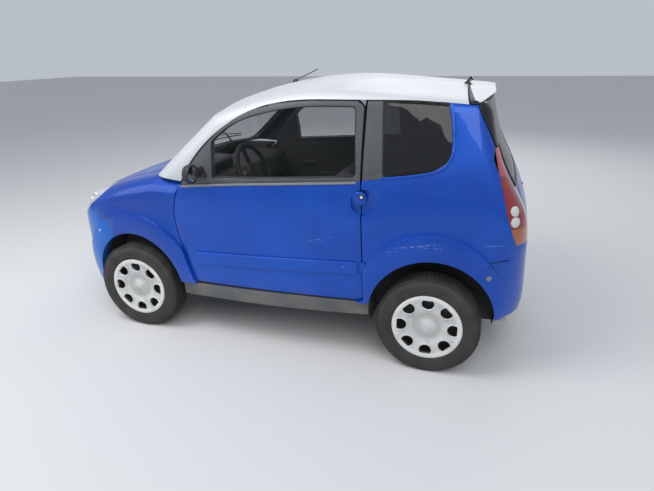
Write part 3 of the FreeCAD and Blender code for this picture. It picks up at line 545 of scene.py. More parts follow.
def tree_of(node):
    if node not in trees:
        mesh = frame["nodes"][node].data
        trees[node] = BVHTree.FromPolygons(
            [v.co.copy() for v in mesh.vertices], [tuple(p.vertices) for p in mesh.polygons]
        )
    return trees[node]


def skin_at(node, start, direction):
    place, normal, _, _ = tree_of(node).ray_cast(Vector(start), Vector(direction).normalized())
    if place is None:
        raise ValueError(f"the ray misses {node}")
    return place, normal


def side_skin(nodes, x, z, side=1):
    """The outermost skin of some nodes at one place on the car's side."""
    hits = []
    for node in nodes:
        hit = tree_of(node).ray_cast(Vector((x, 1.2 * side, z)), Vector((0, -side, 0)))
        if hit[0] is not None:
            hits.append(hit[:2])
    if not hits:
        raise ValueError(f"no skin at {x}, {z}")
    return max(hits, key=lambda hit: hit[0].y * side)


# %% [markdown]
# ## Turned pieces and tubes
# Tyres, knobs, lamp bowls and bolts are turned: a closed outline is spun about an axle, and the
# piece is then stood on the skin. Rods and levers are curves with a round section, made a mesh.

# %% Turn and bend
def turned(outline, steps):
    """Spins an outline of (radius, depth) about the Y axis. Depth runs along Y."""
    bpy.ops.object.select_all(action="DESELECT")
    bpy.ops.mesh.primitive_circle_add(vertices=len(outline), radius=1.0)
    piece = bpy.context.object
    for vertex, (radius, depth) in zip(piece.data.vertices, outline):
        vertex.co = (radius, depth, 0.0)
    edit(piece)
    bpy.ops.mesh.spin(steps=steps, angle=2 * math.pi, center=(0, 0, 0), axis=(0, 1, 0))
    bpy.ops.mesh.select_all(action="SELECT")
    bpy.ops.mesh.remove_doubles(threshold=0.00002)
    bpy.ops.mesh.dissolve_degenerate(threshold=0.00001)
    close_edit()
    return piece


def aim(piece, place, direction):
    """Stands a turned piece at a place with its Y axis along a direction."""
    direction = Vector(direction).normalized()
    turn = Vector((0, 1, 0)).rotation_difference(direction).to_matrix().to_4x4()
    piece.matrix_world = Matrix.Translation(Vector(place)) @ turn
    return piece


def fitted(outline, steps, place, direction, name, surface, body="body", slot="black_plastic"):
    """A turned piece, stood at its place and closed."""
    return close_piece(aim(turned(outline, steps), place, direction), name, surface, body, slot)


def tube(points, radius, closed=False):
    """A bent tube through points, as a curve with a round section made into a mesh."""
    data = bpy.data.curves.new("tube", "CURVE")
    data.dimensions = "3D"
    data.bevel_depth, data.bevel_resolution, data.resolution_u = radius, 3, 6
    data.use_fill_caps = True
    spline = data.splines.new("NURBS")
    spline.points.add(len(points) - 1)
    for point, place in zip(spline.points, points):
        point.co = (*place, 1.0)
    spline.order_u = 3
    spline.use_endpoint_u, spline.use_cyclic_u = not closed, closed
    pick_only(linked("tube", data))
    bpy.ops.object.convert(target="MESH")
    return bpy.context.object


# %% [markdown]
# ## Softened copies of the panels
# The CAD panels are right in shape but have knife edges, which never catch the light. Each one is
# copied, its loose triangles are merged, and its edges get a small bevel.

# %% Dress one node
def body_of(node):
    return frame["nodes"][node]["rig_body"]


def slot_of(node):
    subparts = frame["record"]["subparts"]
    return next(part["material_slot"] for part in subparts if part["node"] == node)


def dress(node, surface, edge=0.002, extra=(), segments=2):
    """extra holds pairs of a finish and a test that says which faces take it."""
    piece = linked(node + "_skin", frame["nodes"][node].data.copy())
    piece.data.materials.clear()
    piece.data.materials.append(surface.material)
    edit(piece)
    bpy.ops.mesh.remove_doubles(threshold=0.00002)
    bpy.ops.mesh.dissolve_limited(angle_limit=math.radians(0.5))
    leave_edit()
    round_edges(piece, edge, segments)
    for index, (finish, takes) in enumerate(extra, 1):
        piece.data.materials.append(finish.material)
        for face in piece.data.polygons:
            if takes(face):
                face.material_index = index
    close_piece(piece, node + "_skin", surface, body_of(node), slot_of(node), 32.0)
    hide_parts(node)


# %% [markdown]
# The inner side of a body panel is not painted but lined in dark trim, so faces that point towards
# the middle of the cabin take a second material. Other faces are told by their place: the dish
# behind each door handle is painted darker as painted shade, and the roof's hinges are black.

# %% Faces with a second finish
CABIN_MIDDLE = Vector((-0.10, 0.0, 0.80))
DISH_X, DISH_Z, DISH_RADIUS = -0.576, 0.885, 0.0645
DISH_LIP = side_skin(["door_left"], -0.515, DISH_Z)[0].y
JUST_OFF = 0.001


def behind_skin(node):
    """Says of a face whether it looks inwards and has the panel's own outer skin over it."""

    def test(face):
        away = (face.center - CABIN_MIDDLE).normalized()
        if face.normal.dot(away) > -0.12:
            return False
        if node not in ("roof", "bonnet", "tailgate"):
            away = Vector((0, 1 if away.y > 0 else -1, 0))
        start = face.center + face.normal * JUST_OFF
        return tree_of(node).ray_cast(start, away, 0.14)[0] is not None

    return test


# Faces inside the dish behind a door handle, which take the darker paint as painted shade.
def in_dish(face):
    out = math.hypot(face.center.x - DISH_X, face.center.z - DISH_Z)
    return out < DISH_RADIUS + 0.0005 and 0.60 < abs(face.center.y) < DISH_LIP - 0.004


def hinge_of_roof(face):
    x, y, z = face.center
    return x < -0.9852 and 0.13 < abs(y) < 0.17 and z > 1.39


def hinge_of_spoiler(face):
    return face.center.x > -0.9995


# Faces of the tailgate's top edge under the spoiler are black as painted shade of the gap below the
# spoiler.
def shade_under_spoiler(face):
    return face.center.z > 1.332


def cowl(face):
    return face.center.x > 0.56 and abs(face.center.y) < 0.585


def under_windscreen(face):
    """Says whether a face of the wings ends up in the cabin, behind the glass and its frame."""
    inboard = face.normal.y * face.center.y < 0 or abs(face.center.y) < 0.60
    if face.center.x > 0.60 or face.center.z < 0.80 or not inboard:
        return False
    start = face.center + face.normal * JUST_OFF
    over = ("windscreen", "windscreen_frame", "roof")
    return any(tree_of(node).ray_cast(start, Vector((0, 0, 1)), 1.0)[0] for node in over)


def behind_glass(face):
    """Says whether a face of the windscreen's frame lies behind the glass."""
    start = face.center + face.normal * JUST_OFF
    return tree_of("windscreen").ray_cast(start, Vector((0.6, 0, 0.8)), 0.12)[0] is not None


print("lip of the handle's dish at y", round(DISH_LIP, 3))

# %% [markdown]
# Each panel is then told its finish. The sheet panels get their lining inside, and the rest is one
# finish all over. Thick plastic mouldings have rounder edges than pressed sheet, and glass has
# sharper ones.

# %% Dress every panel
PAINTED = {
    "front_wings": body_paint, "bonnet": body_paint, "quarter_panels": body_paint,
    "rear_bumper": body_paint, "tailgate": body_paint, "front_bumper": bumper_paint,
    "roof": silver_paint, "windscreen_frame": silver_paint, "pillar_covers": frame_plastic,
}
PLAIN = {
    "quarter_strips": body_paint, "spoiler": silver_paint, "sills": sill_paint,
    "grille": black_plastic, "scuttle": black_plastic, "wheel_liners": lining,
    "dashboard": lining, "steering_column": black_plastic, "seat_bases": black_plastic,
    "windscreen": clear_glass, "quarter_windows": dark_glass, "tailgate_glass": dark_glass,
    "tail_lamps": lens_tail, "chassis_frame": frame_metal, "floor_pan": lining,
    "engine_block": engine_metal, "fuel_tank": black_plastic, "exhaust": steel,
    "front_suspension": steel, "rear_suspension": steel, "steering_wheel": black_plastic,
}
for side, _ in SIDES:
    PAINTED.update({"door_" + side: body_paint, "door_frame_" + side: frame_plastic})
    PLAIN.update({
        "door_glass_" + side: clear_glass, "handle_" + side: body_paint,
        "rub_strip_" + side: body_paint, "knuckle_" + side: steel, "mirror_" + side: black_plastic,
    })
SPECIAL = {
    "roof": ((black_plastic, hinge_of_roof),), "spoiler": ((black_plastic, hinge_of_spoiler),),
    "door_left": ((dish_shade_paint, in_dish),), "door_right": ((dish_shade_paint, in_dish),),
    "quarter_panels": ((dish_shade_paint, in_dish),), "tailgate": ((black_plastic, shade_under_spoiler),),
    "windscreen_frame": ((lining, behind_glass), (black_plastic, cowl)),
    "front_wings": ((lining, under_windscreen),),
    "tail_lamps": ((lining, behind_skin("tail_lamps")),),
}
SHEET_EDGE, GLASS_EDGE = 0.002, 0.0012
EDGES = {
    "rear_bumper": 0.005, "front_bumper": 0.004, "sills": 0.004, "quarter_strips": 0.006,
    "rub_strip_left": 0.006, "rub_strip_right": 0.006,
}
for node, surface in PAINTED.items():
    extra = ((lining, behind_skin(node)), *SPECIAL.get(node, ()))
    dress(node, surface, EDGES.get(node, SHEET_EDGE), extra)
for node, surface in PLAIN.items():
    width = GLASS_EDGE if surface in (clear_glass, dark_glass) else EDGES.get(node, SHEET_EDGE)
    dress(node, surface, width, SPECIAL.get(node, ()), 4 if width > 0.004 else 2)
print("panels dressed:", len(PAINTED) + len(PLAIN))

# %% [markdown]
# ## Wheels
# Each wheel is turned in three pieces: a trim, a steel wheel behind it, and a tyre. Half of the
# tyre's section and the steel wheel's outline are lists of radius and depth.

# %% Wheel sections
# Half section of the tyre: radius, distance from the wheel's middle plane
TYRE_HALF = (
    (0.166, 0.0615), (0.178, 0.0625), (0.182, 0.0655), (0.190, 0.0685), (0.200, 0.0712),
    (0.206, 0.0708), (0.214, 0.0722), (0.224, 0.0722), (0.234, 0.0700), (0.243, 0.0660),
    (0.250, 0.0610), (0.2545, 0.0560),
)
# Lengthwise ribs of the tread: both edges, from the middle plane
TREAD_RIBS = (
    (0.0545, 0.0370), (0.0335, 0.0150), (0.0115, -0.0115), (-0.0150, -0.0335), (-0.0370, -0.0545),
)
TREAD_BASE_R, TREAD_DEPTH, TREAD_STEPS = 0.2572, 0.0046, 84
# The tyre's shoulder, which has blocks too: both edges from the middle plane, least radius
SHOULDER, SHOULDER_R = (0.0545, 0.0612), 0.2500
# Outer and then inner outline of the trim, and the steel wheel's outline: radius, depth
TRIM = (
    (0.0, 0.0630), (0.012, 0.0626), (0.024, 0.0606), (0.034, 0.0560), (0.048, 0.0505),
    (0.062, 0.0485), (0.076, 0.0510), (0.088, 0.0560), (0.098, 0.0595), (0.122, 0.0622),
    (0.148, 0.0636), (0.153, 0.0655), (0.159, 0.0682), (0.171, 0.0680), (0.1765, 0.0655),
    (0.1768, 0.0626), (0.168, 0.0622), (0.156, 0.0610), (0.148, 0.0570), (0.098, 0.0530),
    (0.062, 0.0435), (0.034, 0.0480), (0.0, 0.0560),
)
STEEL_WHEEL = (
    (0.0145, -0.024), (0.058, -0.024), (0.062, 0.006), (0.132, 0.000), (0.150, -0.006),
    (0.152, -0.062), (0.1657, -0.062), (0.1657, 0.0615), (0.160, 0.0600), (0.1525, 0.0500),
    (0.1515, 0.006), (0.132, 0.008), (0.100, 0.020), (0.066, 0.014), (0.058, 0.034), (0.0145, 0.036),
)
master_steel = turned(STEEL_WHEEL, 64)
print("steel wheel points", len(master_steel.data.vertices))

# %% [markdown]
# The trim is a silver plastic disc, dished round its middle, with eight D-shaped windows. Their
# shape is cut by a Boolean, and each window gets a raised lip, which is a thin tube. The black
# steel wheel shows behind them.

# %% Wheel trim
WINDOWS, WINDOW_R, WINDOW_SIZE, WINDOW_END, LIP_RADIUS = 8, 0.1330, 0.0325, 0.0205, 0.0040


def d_outline(size, end, steps=32):
    """A circle cut off by a line towards the wheel's rim, as points across and outwards."""
    points = []
    for i in range(steps):
        turn = 2 * math.pi * (i + 0.5) / steps
        points.append((size * math.sin(turn), min(size * math.cos(turn), end)))
    return points


def make_trim():
    trim = turned(TRIM, 96)
    cutters, lips = [], []
    for i in range(WINDOWS):
        turn = 2 * math.pi * i / WINDOWS
        out = Vector((math.cos(turn), 0, math.sin(turn)))
        across = Vector((-math.sin(turn), 0, math.cos(turn)))

        def at(point, depth, out=out, across=across):
            return out * (WINDOW_R + point[1]) + across * point[0] + Vector((0, depth, 0))

        outline = d_outline(WINDOW_SIZE, WINDOW_END)
        bpy.ops.object.select_all(action="DESELECT")
        bpy.ops.mesh.primitive_circle_add(vertices=len(outline), fill_type="NGON")
        cutter = bpy.context.object
        for vertex, point in zip(cutter.data.vertices, outline):
            vertex.co = at(point, 0.045)
        edit(cutter)
        bpy.ops.mesh.extrude_region_move(TRANSFORM_OT_translate={"value": (0, 0.035, 0)})
        close_edit()
        cutters.append(cutter)
        around = d_outline(WINDOW_SIZE + 0.0022, WINDOW_END + 0.0016)
        ring = [at(point, 0.0604 + 0.06 * (point[1] + WINDOW_SIZE)) for point in around]
        lips.append(tube(ring, LIP_RADIUS, closed=True))
    cutter = joined(cutters)
    cut = trim.modifiers.new("windows", "BOOLEAN")
    cut.operation, cut.object, cut.solver = "DIFFERENCE", cutter, "EXACT"
    apply_modifiers(trim)
    bpy.data.objects.remove(cutter)
    return joined([trim, *lips])


master_trim = make_trim()
print("wheel trim points", len(master_trim.data.vertices))

# %% [markdown]
# The tread is made from the spun tyre itself. One inset with a depth makes a block with sloping
# sides out of each face on a rib or on the shoulder. A picture of tread would look flat from the
# side, where the blocks show against the light.

# %% Tyre
def tyre_section():
    tread = [(TREAD_BASE_R, edge) for rib in TREAD_RIBS for edge in rib]
    inner = [(radius, -depth) for radius, depth in reversed(TYRE_HALF)]
    return list(TYRE_HALF) + tread + inner


def make_tyre():
    tyre = turned(tyre_section(), TREAD_STEPS)
    mesh = tyre.data
    edit(tyre, "DESELECT")
    leave_edit()
    for face in mesh.polygons:
        radius = math.hypot(face.center.x, face.center.z)
        on_rib = any(low < face.center.y < high for high, low in TREAD_RIBS)
        shoulder = SHOULDER[0] < abs(face.center.y) < SHOULDER[1] and radius > SHOULDER_R
        face.select = shoulder or (on_rib and radius > TREAD_BASE_R - 0.002)
    bpy.context.tool_settings.mesh_select_mode = (False, False, True)
    bpy.ops.object.mode_set(mode="EDIT")
    bpy.ops.mesh.inset(thickness=0.0014, depth=TREAD_DEPTH, use_individual=True)
    bpy.context.tool_settings.mesh_select_mode = (True, False, False)
    leave_edit()
    pitch = 2 * math.pi / TREAD_STEPS * TREAD_BASE_R
    print("tyre faces", len(mesh.polygons), "block pitch mm", round(pitch * 1000, 1))
    return tyre


master_tyre = make_tyre()

# %% [markdown]
# The three pieces are copied to each wheel, and the right side gets their mirror image. Each copy
# rides on its own wheel, and the trim and the tyre stand for the CAD rim and tyre.

# %% Fit the wheels
WHEEL_PARTS = (
    (master_trim, "trim", wheel_trim, "wheel_silver", 35.0),
    (master_steel, "steel_wheel", steel, "steel", 35.0),
    (master_tyre, "tread", tyre_black, "tyre", 28.0),
)
STANDS_FOR = {"trim": "rim", "tread": "tyre"}
for end, axle_x in (("front", FRONT_AXLE_X), ("rear", REAR_AXLE_X)):
    for side, sign in SIDES:
        for master, name, surface, slot, angle in WHEEL_PARTS:
            piece = linked(name, master.data.copy())
            if sign < 0:
                piece.data.transform(Matrix.Scale(-1, 4, (0, 1, 0)))
                piece.data.flip_normals()
            piece.location = (axle_x, WHEEL_Y * sign, AXLE_Z)
            body = f"wheel_{end}_{side}"
            close_piece(piece, f"{name}_{end}_{side}", surface, body, slot, angle)
            if name in STANDS_FOR:
                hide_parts(f"{STANDS_FOR[name]}_{end}_{side}")
for master, *_ in WHEEL_PARTS:
    bpy.data.objects.remove(master)
print("wheel pieces fitted:", 4 * len(WHEEL_PARTS))

# %% [markdown]
# ## Lamps
# A headlamp is a clear cover with a silvered bowl behind it. The copy of the CAD lamp is glass
# outside and bright lining inside. The main bowl and a smaller one for the indicator are turned
# and set inside it.

# %% Headlamps
lamp_silver = metal("lamp_silver", (0.86, 0.87, 0.88), 0.12, 1.0, 0.0)
lamp_grey = plastic("lamp_grey", (0.42, 0.43, 0.44), 0.35, 500.0, 0.0)
NOSE_MIDDLE = Vector((0.95, 0.0, 0.62))
# A bowl's wall, outside and back inside: radius, depth in front of the bulb
BOWL = (
    (0.012, -0.030), (0.030, -0.022), (0.046, 0.000), (0.054, 0.022), (0.056, 0.024),
    (0.053, 0.022), (0.043, 0.001), (0.028, -0.018), (0.012, -0.026),
)
BULB = ((0.0, -0.030), (0.006, -0.030), (0.007, -0.004), (0.005, 0.006), (0.0, 0.009))


def faces_inward(face):
    return face.normal.dot((face.center - NOSE_MIDDLE).normalized()) < 0.12


dress("headlamps", lens_clear, 0.0015, ((lamp_grey, faces_inward),))
# Bowls: start of a ray at the skin, size, how far behind the skin, bulb colour
BOWLS = (
    ("main_beam", (1.60, 0.43, 0.700), 1.0, 0.034, lens_white),
    ("dipped_beam", (1.55, 0.50, 0.745), 0.8, 0.030, lens_white),
    ("indicator", (1.50, 0.555, 0.735), 0.55, 0.026, lens_orange),
)
BEAM = Vector((0.93, 0.30, 0.22)).normalized()
for name, start, size, back, bulb_surface in BOWLS:
    place, normal = skin_at("headlamps", start, (-1.0, 0.0, 0.0))
    centre, facing = place - normal * back, (normal + BEAM) / 2
    for kind, outline, surface in (("bowl", BOWL, lamp_silver), ("bulb", BULB, bulb_surface)):
        sized = [(radius * size, depth * size) for radius, depth in outline]
        label = f"{name}_{kind}_"
        piece = fitted(sized, 32, centre, facing, label + "left", surface, slot="lamp_clear")
        twin(piece, label + "right")
    print(name, "bowl at", [round(v, 3) for v in centre])


# %% [markdown]
# The tail lamps carry two round white lenses, one over the other, each with a rim. They are turned
# pieces that stand a few millimetres proud of the red lens.

# %% Round tail lenses
ROUND_LENS = (
    (0.0, -0.010), (0.023, -0.010), (0.0255, -0.002), (0.0244, 0.0016), (0.0212, 0.0012),
    (0.0190, 0.0028), (0.010, 0.0050), (0.0, 0.0056),
)
TAIL_ROUNDS, TAIL_FACING = (0.872, 0.822), (0.72, -0.62, 0.0)
for count, z in enumerate(TAIL_ROUNDS):
    place, normal = skin_at("tail_lamps", (-1.8, 1.06, z), TAIL_FACING)
    name = f"tail_round_{count}_"
    piece = fitted(ROUND_LENS, 40, place, normal, name + "left", lens_white, slot="lamp_red")
    twin(piece, name + "right")
    print("round tail lens at", [round(v, 3) for v in place])


# %% [markdown]
# ## Seals round the glass
# Every pane sits in black rubber. The bead is the outer edge of the CAD pane itself, kept as loose
# edges, made into a curve, and given a round section.

# %% Seals
def seal_round(node, name, radius, body, facing, keep=0.7):
    """A rubber bead along the outer edge of a pane. facing gives the outward direction at a
    place, so that only the edges of the outer face are kept."""
    piece = linked(name, frame["nodes"][node].data.copy())
    edit(piece)
    bpy.ops.mesh.remove_doubles(threshold=0.00002)
    bpy.ops.mesh.dissolve_limited(angle_limit=math.radians(1.5))
    bpy.ops.mesh.select_all(action="DESELECT")
    leave_edit()
    mesh = piece.data
    for element in (*mesh.vertices, *mesh.edges, *mesh.polygons):
        element.select = False
    sides = {}
    for face in mesh.polygons:
        outer = face.normal.dot(facing(face.center)) > keep
        for key in face.edge_keys:
            sides.setdefault(key, []).append(outer)
    for edge in mesh.edges:
        edge.select = sorted(sides.get(edge.key, [])) != [False, True]
    pick_only(piece)
    bpy.context.tool_settings.mesh_select_mode = (False, True, False)
    bpy.ops.object.mode_set(mode="EDIT")
    bpy.ops.mesh.delete(type="EDGE")
    bpy.context.tool_settings.mesh_select_mode = (True, False, False)
    leave_edit()
    bpy.ops.object.convert(target="CURVE")
    curve = bpy.context.object.data
    curve.bevel_depth, curve.bevel_resolution = radius, 1
    bpy.ops.object.convert(target="MESH")
    piece = bpy.context.object
    piece.data.materials.clear()
    close_piece(piece, name, rubber, body, angle=60.0)


def from_cabin(place):
    return (place - CABIN_MIDDLE).normalized()


def sideways(place):
    return Vector((0, 1 if place.y > 0 else -1, 0))


def ahead(place):
    return Vector((0.6, 0, 0.8))


for side, _ in SIDES:
    seal_round("door_glass_" + side, "door_glass_seal_" + side, 0.0042, "door_" + side, sideways)
seal_round("quarter_windows", "quarter_window_seal", 0.0040, "body", sideways)
seal_round("windscreen", "windscreen_seal", 0.0050, "body", ahead, 0.5)
seal_round("tailgate_glass", "tailgate_glass_seal", 0.0026, "tailgate", from_cabin, 0.5)
print("panes sealed:", 3 + len(SIDES))

# %% [markdown]
# ## Belt mouldings and pillar plugs
# A pale grey moulding runs along the top of each door, where the glass goes down. It is a grid
# whose rows are laid along a line on the door's skin, so it follows the door's curve. Each row has
# the points of the moulding's rounded section.

# %% Strips along the skin
# Rows of a moulding's section: across its width from -1 to 1, and height as a share
ROUNDED = (
    (-1.0, -0.6), (-0.92, 0.55), (-0.6, 0.93), (0.0, 1.0), (0.6, 0.93), (0.92, 0.55), (1.0, -0.6),
)


def grid_of(rows):
    """A grid of faces whose points lie at the places given, row by row."""
    bpy.ops.object.select_all(action="DESELECT")
    columns = len(rows[0])
    bpy.ops.mesh.primitive_grid_add(x_subdivisions=columns - 1, y_subdivisions=len(rows) - 1, size=1)
    piece = bpy.context.object
    for vertex, place in zip(piece.data.vertices, (place for row in rows for place in row)):
        vertex.co = place
    return piece


def strip(line, width, height, section=ROUNDED):
    """A moulding along a line of (place, outward, upward), lying on the skin."""
    half = width / 2
    piece = grid_of([
        [place + upward * (across * half) + outward * (share * height) for across, share in section]
        for place, outward, upward in line
    ])
    edit(piece, "DESELECT")
    bpy.ops.mesh.select_non_manifold()
    bpy.ops.mesh.edge_face_add()
    close_edit()
    return piece


def side_line(nodes, points, side, reach=0.0):
    """A line on the car's side through (x, z) points, with the outward and upward directions.
    With a reach, the outermost skin within that distance counts, so a gap is bridged."""
    shifts = ((0, 0), (reach, 0), (-reach, 0), (0, reach), (0, -reach)) if reach else ((0, 0),)
    line = []
    for i, (x, z) in enumerate(points):
        hits = []
        for dx, dz in shifts:
            try:
                hits.append(side_skin(nodes, x + dx, z + dz, side))
            except ValueError:
                continue
        place, normal = max(hits, key=lambda hit: hit[0].y * side)
        before, after = points[max(i - 1, 0)], points[min(i + 1, len(points) - 1)]
        along = Vector((after[0] - before[0], 0, after[1] - before[1])).normalized()
        outward = normal if normal.y * side > 0 else -normal
        line.append((Vector((x, place.y, z)), outward, outward.cross(along).normalized()))
    return line


def between(points, steps):
    """More points between each two of a line, evenly."""
    out = []
    for a, b in zip(points, points[1:]):
        for i in range(steps):
            out.append(tuple(p + (q - p) * i / steps for p, q in zip(a, b)))
    return out + [points[-1]]


BELT = (
    (0.432, 0.9015), (0.30, 0.9155), (0.12, 0.9325), (-0.093, 0.9485), (-0.30, 0.9635),
    (-0.535, 0.9795),
)
BELT_DROP = 0.004
for side, sign in SIDES:
    dropped = between([(x, z - BELT_DROP) for x, z in BELT], 8)
    line = [
        (place + up * math.copysign(BELT_DROP, up.z), out, up)
        for place, out, up in side_line(["door_" + side], dropped, sign)
    ]
    name = "belt_moulding_" + side
    close_piece(strip(line, 0.013, 0.0062), name, belt_plastic, "door_" + side, "grey_plastic")
print("belt mouldings laid, points along each:", len(line))

# %% [markdown]
# A round plug sits low on each black pillar cover. It is turned, with a groove round its middle.

# %% Pillar plugs
PLUG = (-0.610, 1.037)
PLUG_SHAPE = (
    (0.0, -0.004), (0.0190, -0.004), (0.0190, 0.0010), (0.0168, 0.0018), (0.0160, 0.0002),
    (0.0145, 0.0002), (0.0138, 0.0014), (0.0, 0.0018),
)
place, normal = side_skin(["pillar_covers"], *PLUG)
twin(fitted(PLUG_SHAPE, 28, place, normal, "pillar_plug_left", frame_plastic), "pillar_plug_right")
print("pillar plug at", [round(v, 3) for v in place])

# %% [markdown]
# The quarter panel's edge is rolled outwards round its window. The rolled lip is a painted strip
# along a smooth curve. A Catmull-Rom curve runs through a few points, and each of its points is
# laid on the skin.

# %% Window lips
WINDOW_LIP = (
    (-0.946, 1.336), (-0.957, 1.270), (-0.966, 1.205), (-0.970, 1.150), (-0.963, 1.103),
    (-0.940, 1.066), (-0.905, 1.045), (-0.850, 1.031), (-0.783, 1.019), (-0.715, 1.0105),
    (-0.646, 1.003),
)


def smooth_line(points, steps):
    """A Catmull-Rom curve through points in a plane."""
    ends = [points[0], *points, points[-1]]
    out = []
    for a, b, c, d in zip(ends, ends[1:], ends[2:], ends[3:]):
        for i in range(steps):
            s = i / steps
            weights = (
                -0.5 * s + s * s - 0.5 * s**3, 1 - 2.5 * s * s + 1.5 * s**3,
                0.5 * s + 2 * s * s - 1.5 * s**3, -0.5 * s * s + 0.5 * s**3,
            )
            out.append(tuple(sum(w * p[k] for w, p in zip(weights, (a, b, c, d))) for k in (0, 1)))
    return out + [points[-1]]


for side, sign in SIDES:
    line = side_line(["quarter_panels", "quarter_windows"], smooth_line(WINDOW_LIP, 5), sign, 0.006)
    close_piece(strip(line, 0.013, 0.0035), "window_lip_" + side, body_paint, slot="body_paint")
print("window lips laid, points along each:", len(line))

# %% [markdown]
# The rear bumper overlaps the quarter panel, and its edge stands out. A painted strip follows that
# edge, and a thin dark one beside it is painted shade for the gap of the joint.

# %% Bumper joints
BUMPER_JOINT = ((-1.139, 0.5555), (-1.189, 0.625), (-1.230, 0.6315), (-1.262, 0.6365))
JOINT_SKINS, JOINT_REACH, JOINT_STEPS = ["quarter_panels", "rear_bumper"], 0.004, 6
joint = between(list(BUMPER_JOINT), JOINT_STEPS)
edge = [(x + 0.0045 * (i < JOINT_STEPS), z - 0.0075) for i, (x, z) in enumerate(joint)]
for side, sign in SIDES:
    # The thin dark strip on the joint is painted shade standing in for the gap.
    seam = strip(side_line(JOINT_SKINS, joint, sign, JOINT_REACH), 0.0030, 0.0006)
    close_piece(seam, "bumper_gap_shade_" + side, rubber)
    lip = strip(side_line(JOINT_SKINS, edge, sign, JOINT_REACH), 0.010, 0.0030)
    close_piece(lip, "bumper_edge_" + side, body_paint, slot="body_paint")
print("bumper joints laid, points along each:", len(joint))

# %% [markdown]
# Between the headlamp, the wing and the bumper the CAD panels leave a corner open. A filler panel
# closes it: a grid whose columns run from the bumper's top edge to the lamp's lower edge. Each
# column's ends lie on those two skins, and it bulges a little between them.

# %% Front corners
CORNER_X, CORNER_Z = (1.1000, 1.1690), 0.6975
LAMP_EDGE, LAMP_GAP = ((1.059, 0.779), (1.140, 0.722), (1.214, 0.662)), 0.0008
COLUMNS, ROWS = 12, 7


def share_of(ends, i, count):
    """The i-th of some evenly spaced numbers between two ends."""
    return ends[0] + (ends[1] - ends[0]) * i / (count - 1)


def sheet(rows, thickness, name, surface, slot="black_plastic", angle=35.0):
    """A thin wall through rows of points."""
    piece = grid_of(rows)
    wall = piece.modifiers.new("wall", "SOLIDIFY")
    wall.thickness, wall.offset = thickness, 0.0
    apply_modifiers(piece)
    fix_normals(piece)
    return close_piece(piece, name, surface, slot=slot, angle=angle)


def lamp_edge(x):
    (x0, z0), (x1, z1) = LAMP_EDGE[:2] if x < LAMP_EDGE[1][0] else LAMP_EDGE[1:]
    return z0 + (z1 - z0) * (x - x0) / (x1 - x0)


def corner_column(x, sign):
    """Points from the bumper's top edge up to the lamp's lower edge."""
    top = lamp_edge(x) - LAMP_GAP
    low_y = side_skin(["front_bumper"], x, CORNER_Z - 0.0025, sign)[0].y
    high_y = side_skin(["headlamps"], x, top + 0.0035, sign)[0].y
    points = []
    for row in range(ROWS):
        share = row / (ROWS - 1)
        bulge = 0.8 * (top - CORNER_Z) ** 2 * share * (1 - share) - 0.0006
        y = low_y + (high_y - low_y) * share + bulge * sign
        points.append((x, y, share_of((CORNER_Z, top), row, ROWS)))
    return points


for side, sign in SIDES:
    columns = [corner_column(share_of(CORNER_X, i, COLUMNS), sign) for i in range(COLUMNS)]
    sheet(list(zip(*columns)), 0.003, "wing_filler_" + side, body_paint, "body_paint", 50.0)
print("front corners filled, from x", CORNER_X[0], "to", CORNER_X[1])

# %% [markdown]
# Behind each door's rear edge runs the door post. The post is an angled plate: one leg sits on the
# pillar's edge, the other reaches behind the closed door, so no light shows through the seam.

# %% Door posts
POST_Z, POST_STEPS = (0.962, 1.347), 16


def inner_skin(nodes, x, z, sign):
    """The side (y) of the first skin met from the cabin outwards, near one place."""
    hits = []
    for node in nodes:
        for shift in (-0.008, 0, 0.008):
            start = Vector((x, 0.30 * sign, z + shift))
            hits.append(tree_of(node).ray_cast(start, Vector((0, sign, 0)), 0.5)[0])
    return min((hit.y for hit in hits if hit), key=abs, default=None)


def post_section(z, side, sign):
    """Four points of the plate at one height, from the pillar's edge to behind the door."""
    door = inner_skin(["door_" + side, "door_frame_" + side], -0.543, z, sign)
    pillar = inner_skin(["quarter_panels", "pillar_covers"], -0.566, z, sign)
    back = (door if door is not None else pillar - 0.016 * sign) - 0.006 * sign
    return (
        (-0.5635, pillar + 0.010 * sign, z), (-0.5600, pillar + 0.009 * sign, z),
        (-0.5590, back, z), (-0.5430, back, z),
    )


for side, sign in SIDES:
    heights = [share_of(POST_Z, i, POST_STEPS) for i in range(POST_STEPS)]
    rows = [post_section(z, side, sign) for z in heights]
    sheet(rows, 0.002, "door_post_" + side, rubber)
print("door posts fitted, from z", POST_Z[0], "to", POST_Z[1])

# %% [markdown]
# The rear wheel housings stop a finger's width short of the quarter panels. A rubber band closes
# each gap: at each angle round the axle, rays find where the housing ends and the panel begins.

# %% Housing bands
ARCH_MIDDLE, ARCH_ANGLES, WIDEST_GAP = Vector((-0.878, 0, 0.255)), range(24, 157, 6), 0.03


def arch_place(turn, radius, y):
    return ARCH_MIDDLE + Vector((math.cos(turn), 0, math.sin(turn))) * radius + Vector((0, y, 0))


def edge_under(node, turn, sign, places):
    """The first place along the axle, with its radius, where a ray to the axle meets a node."""
    inwards = -Vector((math.cos(turn), 0, math.sin(turn)))
    for place in places:
        hit = tree_of(node).ray_cast(arch_place(turn, 0.45, place * sign), inwards, 0.16)[0]
        if hit:
            return place, math.hypot(hit.x - ARCH_MIDDLE.x, hit.z - ARCH_MIDDLE.z)
    return None


for side, sign in SIDES:
    rows = []
    for turn in map(math.radians, ARCH_ANGLES):
        housing = edge_under("wheel_liners", turn, sign, (0.68 - 0.0015 * i for i in range(90)))
        panel = edge_under("quarter_panels", turn, sign, (0.56 + 0.0015 * i for i in range(90)))
        if housing and panel and 0 < panel[0] - housing[0] < WIDEST_GAP:
            edges, radius = (housing[0] - 0.006, panel[0] + 0.003), housing[1] + 0.0018
            rows.append([arch_place(turn, radius, edge * sign) for edge in edges])
    sheet(rows, 0.003, "housing_band_" + side, rubber, angle=60.0)
    print("housing band", side, "with", len(rows), "rows")


